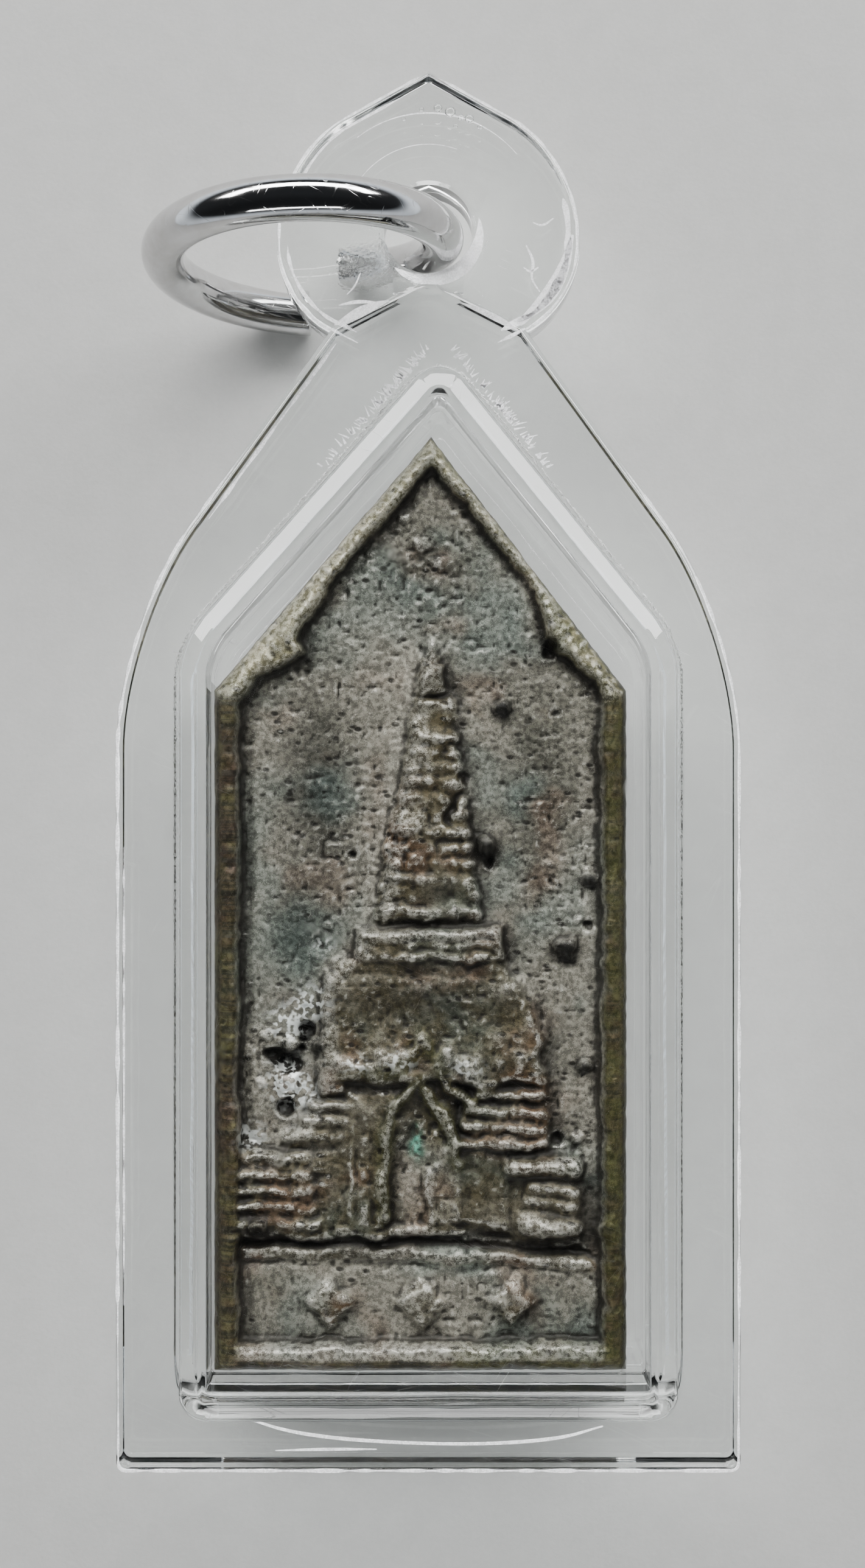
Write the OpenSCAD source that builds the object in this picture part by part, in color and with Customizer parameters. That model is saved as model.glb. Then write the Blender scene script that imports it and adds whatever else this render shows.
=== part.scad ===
// Cased plaque pendant: a cast metal plaque with a stupa in relief, sealed between two clear
// acrylic shells, with a steel split ring through the case's leaf-shaped tab.
// It lies on its back: front towards +Z, tab towards +Y, resting on the back shell at z = 0.

/* [Plaque] */
// Width across the plaque's straight sides, at its back
plaque_w = 15.4; // [13.5:0.1:17]
// Height of the plaque, from its bottom edge to the tip of its gable
plaque_h = 34.8; // [31:0.1:38]
// Thickness of the plaque at its rim
plaque_t = 3.8; // [3.2:0.1:4.4]
// Height of the pointed part above the straight sides
gable_h = 9.5; // [8.5:0.1:11]
// How far the gable's tip leans to the right
gable_shift = 0.4; // [0:0.1:0.8]
// How much the front edge stands inside the back edge, all round
draft_w = 0.3; // [0.2:0.05:0.5]
// Width of the raised rim's flat top along the straight sides
rim_w = 0.65; // [0.45:0.05:0.85]
// Width of the raised rim's flat top along the gable
gable_rim_w = 0.7; // [0.5:0.05:0.9]
// Depth of the field below the rim
field_depth = 0.8; // [0.6:0.05:1.1]
// How far the cusps of the field's arch stand out from the rim
cusp_w = 0.8; // [0.4:0.1:1.2]

/* [Stupa relief] */
// Height of the stupa, from its base line to the tip of the spire
stupa_h = 22; // [20:0.2:23]
// Height of the highest relief above the field
relief_h = 0.75; // [0.4:0.05:0.8]
// Height of the bare panel under the stupa
panel_h = 3.5; // [3.2:0.1:4]
// Number of rings on the spire
spire_rings = 14; // [10:1:16]
// Width of each lozenge on the bottom panel
lozenge_w = 1.9; // [1.2:0.1:2.4]
// Diameter of the cast pips on the field
pip_d = 0.55; // [0.4:0.05:0.7]

/* [Case] */
// Side play of the plaque in the pocket, both sides together
play_w = 0.8; // [0.5:0.1:1.4]
// Play of the plaque along the pocket
play_h = 0.1; // [0.08:0.02:0.6]
// Play between the plaque's gable and the pocket's
play_gable = 0.8; // [0.5:0.1:1.2]
// Thickness of the pocket's side walls
wall_t = 0.9; // [0.7:0.05:1.2]
// Thickness of the front and back windows
window_t = 1.2; // [0.8:0.1:1.5]
// Width of the flat flange beside and below the pocket
flange_w = 2.5; // [2:0.1:3.5]
// Thickness of each half of the flange
flange_t = 1.3; // [1.1:0.1:1.5]
// Depth of the back shell below the flange
back_depth = 2.9; // [2.6:0.1:3.2]
// Height of the front shell above the flange
front_depth = 2.5; // [2.3:0.1:3]
// Gap between the two shells
glue_gap = 0.04; // [0.02:0.01:0.08]
// Radius of the pocket's shoulders, inside
pocket_shoulder_r = 2.4; // [1.5:0.1:3.5]
// Radius of the pocket's bottom corners, inside
pocket_corner_r = 0.2; // [0.15:0.05:0.3]

/* [Flange arch] */
// Slope of the arch's flanks, from level
arch_slope = 54; // [50:0.5:57]
// Distance from the pocket's tip up to where the two flanks would meet
arch_rise = 6; // [5.5:0.1:7]
// Radius of the arch's shoulders
arch_shoulder_r = 14; // [11:0.5:16]
// Slope of the arch's top, from level
arch_top_slope = 27; // [22:1:32]
// Width of the neck between the flanks and the top
neck_w = 7; // [6:0.1:8]
// Radius of the flange's bottom corners
flange_corner_r = 0.4; // [0.2:0.1:1]

/* [Tab] */
// Width of the leaf-shaped tab
tab_w = 11.2; // [10:0.1:12.5]
// Thickness of each half of the tab
tab_t = 1; // [0.8:0.05:1.05]
// Distance from the hole's centre to the tab's tip
tab_tip = 5.9; // [5.2:0.1:6.4]
// Slope of the tab's upper edges, from level
tab_tip_slope = 29; // [26:1:32]
// Radius of the tab's upper shoulders
tab_upper_r = 4.8; // [3.5:0.1:4.9]
// Radius of the tab's lower shoulders
tab_lower_r = 3.5; // [2.5:0.1:3.6]
// Distance from the hole's centre down to the tab's lower corners
tab_lower = 2.8; // [2.6:0.1:3.2]
// Slope of the tab's lower edges, from level
tab_lower_slope = 27; // [22:1:32]
// Diameter of the hole in the tab
hole_d = 3.3; // [3.15:0.05:3.6]
// Distance from the hole's centre up to where the flange's flanks would meet
hole_drop = 1.2; // [0.8:0.1:1.4]
// Width of the ramp that joins the flange and the tab
web_w = 2.6; // [1.6:0.1:3.4]
// Length of that ramp
web_l = 0.7; // [0.4:0.1:0.9]

/* [Ring] */
// Outer diameter of the split ring
ring_d = 11.7; // [11:0.1:12.5]
// Diameter of the ring's wire
wire_d = 1.6; // [1.4:0.05:1.7]
// How far the standing ring leans back from upright, in degrees
ring_lean = 2; // [0:0.5:6]
// How far the ring is turned about the vertical, in degrees
ring_turn = 4; // [0:0.5:8]
// Sideways offset of the wire from the hole's centre
ring_offset = 0.14; // [0:0.02:0.16]
// Gap between the wire and the hole's lower edge
ring_play = 0.3; // [0.22:0.02:0.5]
// Width of the cut where the ring's ends meet
seam_gap = 0.12; // [0.08:0.01:0.2]
// Where that cut is on the ring, in degrees from its right-hand end
seam_angle = -93; // [-120:1:-60]

/* [Hidden] */
$fn = 48;

// Gaps under the plaque and beside it, how deep one form is rooted in another, and the reach of
// a cut past a face
rest_gap = 0.05;
side_gap = 0.1;
root = 0.2;
past = 1;
arc_steps = 10;
// Radius of the pocket's tip, inside, and of the flange arch's top
pocket_tip_r = 0.4;
arch_top_r = 1;
// How far the ramp at the tab's root reaches into the flange, and sinks into the tab's face
web_reach = 0.6;
web_sink = 0.05;
// Most of an edge that the rounding at its two ends may take
edge_share = 0.98;
// Width of the lip under the plaque's panel, and how far down its drafted edge reaches
lip_w = 0.9;
edge_drop = 0.9;

// An outline is a list of corners, anticlockwise. grown() moves its edges out by g, and
// rounded() gives each corner its own radius.
function unit(v) = v / norm(v);
function cross2(a, b) = a.x * b.y - a.y * b.x;
function meet(p, u, q, v) = p + u * cross2(q - p, v) / cross2(u, v);
function grown(c, g) = let (n = len(c)) [
    for (i = [0:n - 1]) let (
        u = unit(c[i] - c[(i + n - 1) % n]),
        v = unit(c[(i + 1) % n] - c[i])
    ) meet(c[i] + g * [u.y, -u.x], u, c[i] + g * [v.y, -v.x], v)];
function corner_arc(p, c, q, r) = let (
    u = unit(p - c),
    v = unit(q - c),
    half = acos(u * v) / 2,
    centre = c + unit(u + v) * r / sin(half),
    from = c + u * r / tan(half) - centre,
    turn = cross2(u, v) < 0 ? 180 - 2 * half : 2 * half - 180
) r == 0 ? [c] : [
    for (i = [0:arc_steps]) let (a = turn * i / arc_steps)
        centre + [from.x * cos(a) - from.y * sin(a), from.x * sin(a) + from.y * cos(a)]];
// Two radii that are too long for the edge between them both shrink until they fit it
function rounded(c, r) = let (
    n = len(c),
    reach = [for (i = [0:n - 1])
        r[i] / tan(acos(unit(c[(i + n - 1) % n] - c[i]) * unit(c[(i + 1) % n] - c[i])) / 2)],
    fit = [for (i = [0:n - 1]) let (taken = reach[i] + reach[(i + 1) % n])
        taken == 0 ? 1 : min(1, edge_share * norm(c[(i + 1) % n] - c[i]) / taken)]
) [
    for (i = [0:n - 1]) let (from = c[(i + n - 1) % n], to = c[(i + 1) % n])
        each corner_arc(from, c[i], to, r[i] * min(fit[i], fit[(i + n - 1) % n]))];

// Corners of a gabled shape: bottom left, bottom right, right shoulder, tip, left shoulder
function gabled(w, h, tip_h, shift) = [
    [-w / 2, 0], [w / 2, 0], [w / 2, h - tip_h], [shift, h], [-w / 2, h - tip_h]];

// Heights
mid_z = back_depth + flange_t;

// The pocket follows the plaque, measured from the plaque's own bottom centre. The plaque lies
// against the pocket's left side.
plaque_shape = gabled(plaque_w, plaque_h, gable_h, gable_shift);
slack_x = play_w / 2 - side_gap;
pocket_tip_y = plaque_h + play_gable / cos(atan(2 * gable_h / plaque_w));
pocket_shape = [for (p = gabled(plaque_w + play_w, pocket_tip_y + play_h, gable_h, gable_shift))
    p - [0, play_h]];
pocket_radii = [
    pocket_corner_r, pocket_corner_r, pocket_shoulder_r, pocket_tip_r, pocket_shoulder_r];
outer_shape = grown(pocket_shape, wall_t);
outer_radii = [for (r = pocket_radii) r + wall_t];

// The flange's arch: flanks that would meet at arch_y, cut by a flatter top above the neck
flange_half = outer_shape[1].x + flange_w;
flange_bottom = outer_shape[1].y - flange_w;
arch_y = outer_shape[3].y + arch_rise;
neck_y = arch_y - neck_w / 2 * tan(arch_slope);
arch_top_y = neck_y + neck_w / 2 * tan(arch_top_slope);
side_y = arch_y - flange_half * tan(arch_slope);
flange_shape = [
    [-flange_half, flange_bottom], [flange_half, flange_bottom], [flange_half, side_y],
    [neck_w / 2, neck_y], [0, arch_top_y], [-neck_w / 2, neck_y], [-flange_half, side_y]];
flange_radii = [
    flange_corner_r, flange_corner_r, arch_shoulder_r, 0, arch_top_r, 0, arch_shoulder_r];

// The tab hangs from its hole
hole_y = arch_y - hole_drop;
tab_shape = [for (p = [
    [0, -tab_lower - tab_w / 2 * tan(tab_lower_slope)], [tab_w / 2, -tab_lower],
    [tab_w / 2, tab_tip - tab_w / 2 * tan(tab_tip_slope)], [0, tab_tip],
    [-tab_w / 2, tab_tip - tab_w / 2 * tan(tab_tip_slope)], [-tab_w / 2, -tab_lower]])
    p + [0, hole_y]];
tab_radii = [0, tab_lower_r, tab_upper_r, 0, tab_upper_r, tab_lower_r];

// The model's origin is the middle of the case, so the plaque's frame moves down to it
tip_y = hole_y + tab_tip;
shift_y = -(tip_y + flange_bottom) / 2;

// Everything on the plaque is placed by shares of the field's half width and the stupa's height
field_half = plaque_w / 2 - draft_w - rim_w;
field_z = plaque_t - field_depth;
front_shape = grown(plaque_shape, -draft_w);
sill_y = draft_w + lip_w;
base_y = sill_y + panel_h;
base_bar_r = 0.17;
function sx(s) = s * field_half;
function sy(s) = base_y + s * stupa_h;

// The ring stands on the ground and passes through the hole at the middle of the tab
ring_r = (ring_d - wire_d) / 2;
ring_z = ring_r * cos(ring_lean) + wire_d / 2;
pass_angle = asin((mid_z - ring_z) / (ring_r * cos(ring_lean)));
along = [cos(ring_turn), sin(ring_turn), 0];
upward = [-sin(ring_turn) * sin(ring_lean), cos(ring_turn) * sin(ring_lean), cos(ring_lean)];
pass_point = [ring_offset, hole_y + shift_y - (hole_d - wire_d) / 2 + ring_play, mid_z];
ring_centre = pass_point - ring_r * (cos(pass_angle) * along + sin(pass_angle) * upward);

// Relief blocks: left and right edge, bottom and top edge, height as a share of relief_h
BLOCKS = [
    [-0.36, 0.46, 0.482, 0.540, 0.80], // square box over the bell
    [-0.48, 0.49, 0.459, 0.474, 0.60], // thin ledge under it
    [-0.60, 0.50, 0.010, 0.180, 0.55], // plinth behind the porch
];
// Stacks of level courses: left and right edge, bottom and top edge, count, height
COURSES = [
    [0.27, 0.73, 0.172, 0.278, 4, 0.80], // mouldings right of the porch
    [-0.72, -0.42, 0.172, 0.278, 4, 0.70], // mouldings left of the porch
    [0.49, 0.88, 0.006, 0.164, 3, 0.90], // right end of the terrace
    [-0.98, -0.56, 0.006, 0.164, 3, 0.90], // left end of the terrace
];
// Cast pips: place across and up, size as a share of pip_d
PIPS = [
    [0.43, 0.91, 1.0], [0.36, 0.677, 0.9], [0.94, 0.623, 0.8],
    [0.80, 0.509, 1.1], [0.90, 0.309, 0.8], [0.88, 0.187, 0.8]];

// The field's arch: it follows the gable from its tip, with a cusp on each side before the
// shoulders. t runs from 0 at the tip to 1 at a shoulder.
gable_inner = grown(plaque_shape, -draft_w - gable_rim_w);
function on_gable(side, t) = let (tip = gable_inner[3])
    tip + t * (gable_inner[side > 0 ? 2 : 4] - tip);
function arch_side(side) = [
    on_gable(side, 0.66), on_gable(side, 0.8) - [side * cusp_w, 0.1], on_gable(side, 0.95),
    [side * field_half, plaque_h - gable_h - 0.35]];
function backwards(c) = [for (i = [len(c) - 1:-1:0]) c[i]];
field_outline = concat(
    [[-field_half, sill_y], [field_half, sill_y]], backwards(arch_side(1)), [gable_inner[3]],
    arch_side(-1));

module plate(outline, low, high) {
    translate([0, 0, low]) linear_extrude(high - low) polygon(outline);
}

// A block of relief on the field, rooted in the plaque
module raised(outline, share) {
    plate(outline, field_z - root, field_z + share * relief_h);
}

function box_outline(left, right, low, high) = [
    [sx(left), sy(low)], [sx(right), sy(low)], [sx(right), sy(high)], [sx(left), sy(high)]];

// A level moulding: a round bar that lies in the field
module moulding(left, right, y, r, share) {
    translate([sx(left), y, field_z + share * relief_h - r])
        rotate([0, 90, 0]) cylinder(r = r, h = sx(right) - sx(left));
}

module course_stack(row) {
    pitch = (sy(row[3]) - sy(row[2])) / row[4];
    raised(box_outline(row[0], row[1], row[2], row[3]), row[5] * 0.55);
    for (i = [0:row[4] - 1])
        moulding(row[0], row[1], sy(row[2]) + (i + 0.5) * pitch, pitch * 0.36, row[5]);
}

module spire() {
    foot = 0.555;
    top = 0.923;
    function left(t) = -0.207 + 0.213 * t;
    function right(t) = 0.325 - 0.147 * t;
    raised([[sx(left(0)), sy(foot)], [sx(right(0)), sy(foot)],
        [sx(right(1)), sy(top)], [sx(left(1)), sy(top)]], 0.5);
    pitch = (sy(top) - sy(foot)) / spire_rings;
    for (i = [0:spire_rings - 1]) let (t = (i + 0.5) / spire_rings)
        moulding(left(t), right(t), sy(foot) + (i + 0.5) * pitch, pitch * 0.38, 0.85 - 0.2 * t);
    // finial
    raised([[sx(left(1)), sy(top) - 0.1], [sx(right(1)), sy(top) - 0.1], [sx(0.07), sy(1)]], 0.6);
}

module bell() {
    shoulder = [for (i = [0:arc_steps]) let (a = 90 * i / arc_steps)
        [sx(0.46 + 0.2 * sin(a)), sy(0.36 + 0.1 * cos(a))]];
    raised(concat([[sx(-0.52), sy(0.27)], [sx(-0.5), sy(0.46)]], shoulder, [[sx(0.68), sy(0.27)]]),
        0.62);
}

// The porch: a gabled front with a chevron over a niche
module porch() {
    raised([[sx(-0.28), sy(0.01)], [sx(0.2), sy(0.01)], [sx(0.24), sy(0.2)], [sx(0.27), sy(0.285)],
        [sx(0.1), sy(0.285)], [sx(0.01), sy(0.357)], [sx(-0.13), sy(0.285)],
        [sx(-0.46), sy(0.285)], [sx(-0.4), sy(0.24)], [sx(-0.3), sy(0.2)]], 0.8);
    for (side = [-1, 1], band = [[0.335, 0.21], [0.28, 0.14]]) {
        low = [sx(0.01 + side * 0.2), sy(band[1])];
        high = [sx(0), sy(band[0])];
        raised([low, high, high - [0, 0.55], low - [0, 0.55]], 1);
    }
    for (side = [-1, 1])
        raised([[sx(-0.03 + side * 0.21), sy(0.01)], [sx(-0.03 + side * 0.13), sy(0.01)],
            [sx(-0.02 + side * 0.09), sy(0.22)], [sx(-0.02 + side * 0.16), sy(0.22)]], 1);
}

module stupa() {
    spire();
    bell();
    for (row = BLOCKS) raised(box_outline(row[0], row[1], row[2], row[3]), row[4]);
    for (row = COURSES) course_stack(row);
    porch();
    // two level mouldings under everything, on a low strip
    raised(box_outline(-0.98, 0.98, -0.045, 0.012), 0.35);
    for (y = [-0.008, -0.032])
        moulding(-0.98, 0.98, sy(y), base_bar_r, 0.6);
}

module panel_lozenges() {
    for (s = [-0.5, 0, 0.5]) {
        half_w = lozenge_w / 2;
        half_h = panel_h * 0.27;
        c = [sx(s), sill_y + panel_h * 0.42];
        raised([c - [half_w, 0], c - [0, half_h], c + [half_w, 0], c + [0, half_h]], 0.45);
    }
}

module plaque_body() {
    hull() {
        plate(plaque_shape, 0, plaque_t - edge_drop);
        plate(front_shape, plaque_t - 0.3, plaque_t);
    }
}

module plaque() {
    color([0.42, 0.39, 0.34])
    translate([-slack_x, shift_y, window_t + rest_gap]) {
        difference() {
            plaque_body();
            plate(field_outline, field_z, plaque_t + past);
        }
        stupa();
        panel_lozenges();
        for (p = PIPS)
            translate([sx(p[0]), sy(p[1]), field_z]) sphere(d = pip_d * p[2]);
    }
}

// One shell, drawn below the middle plane: flange and tab halves, and a pocket of that depth
module shell(depth) {
    low = -flange_t - depth;
    translate([0, shift_y, 0]) difference() {
        union() {
            plate(rounded(flange_shape, flange_radii), -flange_t, -glue_gap / 2);
            plate(rounded(tab_shape, tab_radii), -tab_t, -glue_gap / 2);
            plate(rounded(outer_shape, outer_radii), low, -flange_t + root);
            web();
        }
        plate(rounded(pocket_shape, pocket_radii), low + window_t, past);
        translate([0, hole_y, -tab_t - past]) cylinder(d = hole_d, h = tab_t + 2 * past);
    }
}

// The ramp at the tab's root, from the flange's face down to the tab's
module web() {
    from_y = arch_top_y - web_reach;
    inside = -glue_gap / 2 - root / 2;
    translate([-web_w / 2, 0, 0]) rotate([90, 0, 90]) linear_extrude(web_w)
        polygon([[from_y, inside], [from_y, -flange_t],
            [from_y + web_l, -tab_t + web_sink], [from_y + web_l, inside]]);
}

module case_back() {
    color([0.86, 0.95, 0.97, 0.35]) translate([0, 0, mid_z]) shell(back_depth);
}

module case_front() {
    color([0.92, 0.97, 0.98, 0.35]) translate([0, 0, mid_z]) mirror([0, 0, 1]) shell(front_depth);
}

module ring() {
    color([0.75, 0.76, 0.78])
    translate(ring_centre) rotate([90 - ring_lean, 0, ring_turn]) difference() {
        rotate_extrude() translate([ring_r, 0]) circle(d = wire_d);
        rotate([0, 0, seam_angle]) translate([ring_r - wire_d, -seam_gap / 2, -wire_d])
            cube([2 * wire_d, seam_gap, 2 * wire_d]);
    }
}

case_back();
case_front();
plaque();
ring();
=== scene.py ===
"""Looks of the cased votive plaque pendant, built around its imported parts.

The pendant lies on its back on a pale card: a cast plaque loose in a clear case of two glued shells,
with a polished split ring through the case's tab. Sizes are in millimetres and are turned into
metres as each mesh is finished.
"""

import logging
import math
from collections.abc import Iterable
from dataclasses import dataclass, field
from enum import Enum

import bmesh
import bpy
import numpy as np
from mathutils import Matrix, Vector, noise


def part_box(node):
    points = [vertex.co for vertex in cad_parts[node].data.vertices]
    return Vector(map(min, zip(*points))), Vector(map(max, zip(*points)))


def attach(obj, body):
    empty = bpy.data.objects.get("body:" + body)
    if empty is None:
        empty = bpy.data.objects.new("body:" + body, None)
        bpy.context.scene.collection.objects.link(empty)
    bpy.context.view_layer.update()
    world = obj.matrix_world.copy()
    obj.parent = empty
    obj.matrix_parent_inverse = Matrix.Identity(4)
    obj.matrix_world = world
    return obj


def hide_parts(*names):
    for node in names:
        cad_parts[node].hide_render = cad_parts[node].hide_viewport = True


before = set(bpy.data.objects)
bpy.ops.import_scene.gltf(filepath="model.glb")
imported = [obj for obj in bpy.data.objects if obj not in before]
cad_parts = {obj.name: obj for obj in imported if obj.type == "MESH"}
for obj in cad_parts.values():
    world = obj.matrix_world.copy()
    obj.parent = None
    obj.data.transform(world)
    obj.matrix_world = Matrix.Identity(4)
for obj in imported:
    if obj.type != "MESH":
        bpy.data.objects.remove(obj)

LOG = logging.getLogger("pendant")
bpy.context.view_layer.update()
MM = 0.001
BODY = "root"
Point = tuple[float, float]
Triple = tuple[float, float, float]
Stroke = tuple[Triple, ...]
Four = tuple[float, float, float, float]
Colour = Four


class Half(Enum):
    """The case's two shells, with the sign of the way that each one faces."""

    BACK = -1
    FRONT = 1


# Geometry helpers


def new_object(bm: bmesh.types.BMesh, name: str, sharp_deg: float | None = 32.0) -> bpy.types.Object:
    """Turns a bmesh in millimetres into an object in metres, at the origin.

    Args:
        bm: the mesh, which is freed here.
        name: the object's name.
        sharp_deg: edges bent more than this stay sharp, and None shades every face flat.

    Returns:
        The linked object.
    """
    bmesh.ops.scale(bm, vec=(MM, MM, MM), verts=bm.verts)
    mesh = bpy.data.meshes.new(name)
    bm.to_mesh(mesh)
    bm.free()
    shade(mesh, sharp_deg)
    made = bpy.data.objects.new(name, mesh)
    bpy.context.scene.collection.objects.link(made)
    return made


def shade(mesh: bpy.types.Mesh, sharp_deg: float | None) -> None:
    """Shades a mesh smooth, apart from its sharp edges.

    Args:
        mesh: the mesh to shade.
        sharp_deg: edges bent more than this stay sharp, and None shades every face flat.
    """
    smooth = np.full(len(mesh.polygons), sharp_deg is not None)
    mesh.polygons.foreach_set("use_smooth", smooth)
    if sharp_deg is not None:
        mesh.set_sharp_from_angle(angle=math.radians(sharp_deg))


def object_centre(node: str) -> Vector:
    """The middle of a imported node's box, in millimetres."""
    low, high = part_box(node)
    return (low + high) / (2 * MM)


@dataclass(frozen=True)
class Corner:
    """One corner of an outline, with the radius that rounds it."""

    x: float
    y: float
    r: float = 0.0


@dataclass(frozen=True)
class Step:
    """One step of a plate's edge: how far it goes in, and how far it rises."""

    inward: float
    rise: float


@dataclass(frozen=True)
class Outline:
    """A closed outline of rounded corners, anticlockwise."""

    corners: tuple[Corner, ...]
    arc_segments: int = 12

    def grown(self, by: float) -> "Outline":
        """The outline with its edges moved out.

        Args:
            by: the distance, with the corners' radii growing by as much.

        Returns:
            The larger outline.
        """
        points = [Vector((c.x, c.y)) for c in self.corners]
        count = len(points)
        made = []
        for i, corner in enumerate(self.corners):
            ahead = (points[(i + 1) % count] - points[i]).normalized()
            behind = (points[i] - points[i - 1]).normalized()
            out = Vector((behind.y, -behind.x)) + Vector((ahead.y, -ahead.x))
            moved = points[i] + out * (by / (1 + behind.dot(ahead)))
            made.append(Corner(moved.x, moved.y, corner.r + by if corner.r else 0.0))
        return Outline(tuple(made), self.arc_segments)

    def add_face(self, bm: bmesh.types.BMesh, z: float) -> bmesh.types.BMFace:
        """Adds the outline as one face, with its corners rounded.

        Args:
            bm: the mesh that gets the face.
            z: the face's height.

        Returns:
            The face.
        """
        points = [Vector((c.x, c.y, z)) for c in self.corners]
        verts = [bm.verts.new(p) for p in points]
        bm.faces.new(verts)
        count = len(points)
        for i, corner in enumerate(self.corners):
            if corner.r <= 0:
                continue
            behind = (points[i - 1] - points[i]).normalized()
            ahead = (points[(i + 1) % count] - points[i]).normalized()
            reach = corner.r / math.tan(behind.angle(ahead) / 2)
            bmesh.ops.bevel(
                bm, geom=[verts[i]], offset=reach, offset_type="OFFSET", segments=self.arc_segments,
                profile=0.5, affect="VERTICES", material=-1,
            )
        return max(bm.faces, key=lambda face: face.calc_area())

    def plate(self, name: str, low: float, steps: Iterable[Step]) -> bpy.types.Object:
        """Makes a closed plate that stands on the outline.

        Args:
            name: the object's name.
            low: the height of its underside.
            steps: how its edge goes up and in, from the underside to the top face.

        Returns:
            The plate.
        """
        bm = bmesh.new()
        face = self.add_face(bm, low)
        for step in steps:
            bmesh.ops.inset_region(
                bm, faces=[face], thickness=step.inward, depth=step.rise, use_even_offset=True,
                use_boundary=True,
            )
        rim = [edge for edge in bm.edges if edge.is_boundary]
        bmesh.ops.holes_fill(bm, edges=rim, sides=0)
        bmesh.ops.recalc_face_normals(bm, faces=bm.faces)
        return new_object(bm, name)


def rounded_edge(radius: float, segments: int = 4) -> tuple[Step, ...]:
    """The steps of a quarter-round edge.

    Args:
        radius: its radius.
        segments: how many flats stand for the round.

    Returns:
        The steps, from upright to level.
    """
    turns = [math.pi / 2 * i / segments for i in range(segments + 1)]
    return tuple(
        Step(radius * (math.cos(a) - math.cos(b)), radius * (math.sin(b) - math.sin(a)))
        for a, b in zip(turns, turns[1:])
    )


def hollow_edge(radius: float, segments: int = 5) -> tuple[Step, ...]:
    """The steps of a hollow curve, such as the foot of a wall on a plate.

    Args:
        radius: its radius.
        segments: how many flats stand for the curve.

    Returns:
        The steps, from level to upright.
    """
    return tuple(Step(step.rise, step.inward) for step in rounded_edge(radius, segments))


def combined(base: bpy.types.Object, operands: Iterable[tuple[bpy.types.Object, str]]) -> bpy.types.Mesh:
    """Joins solids and cuts others out of them, and removes all the objects.

    Args:
        base: the first solid.
        operands: the other solids in their order, each with UNION or DIFFERENCE.

    Returns:
        The mesh that is left.
    """
    for other, operation in operands:
        modifier = base.modifiers.new(operation.lower(), "BOOLEAN")
        modifier.object = other
        modifier.operation = operation
        modifier.solver = "EXACT"
    graph = bpy.context.evaluated_depsgraph_get()
    mesh = bpy.data.meshes.new_from_object(base.evaluated_get(graph))
    for used in [base, *(other for other, _ in operands)]:
        bpy.data.objects.remove(used)
    return mesh


# Shader helpers


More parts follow.
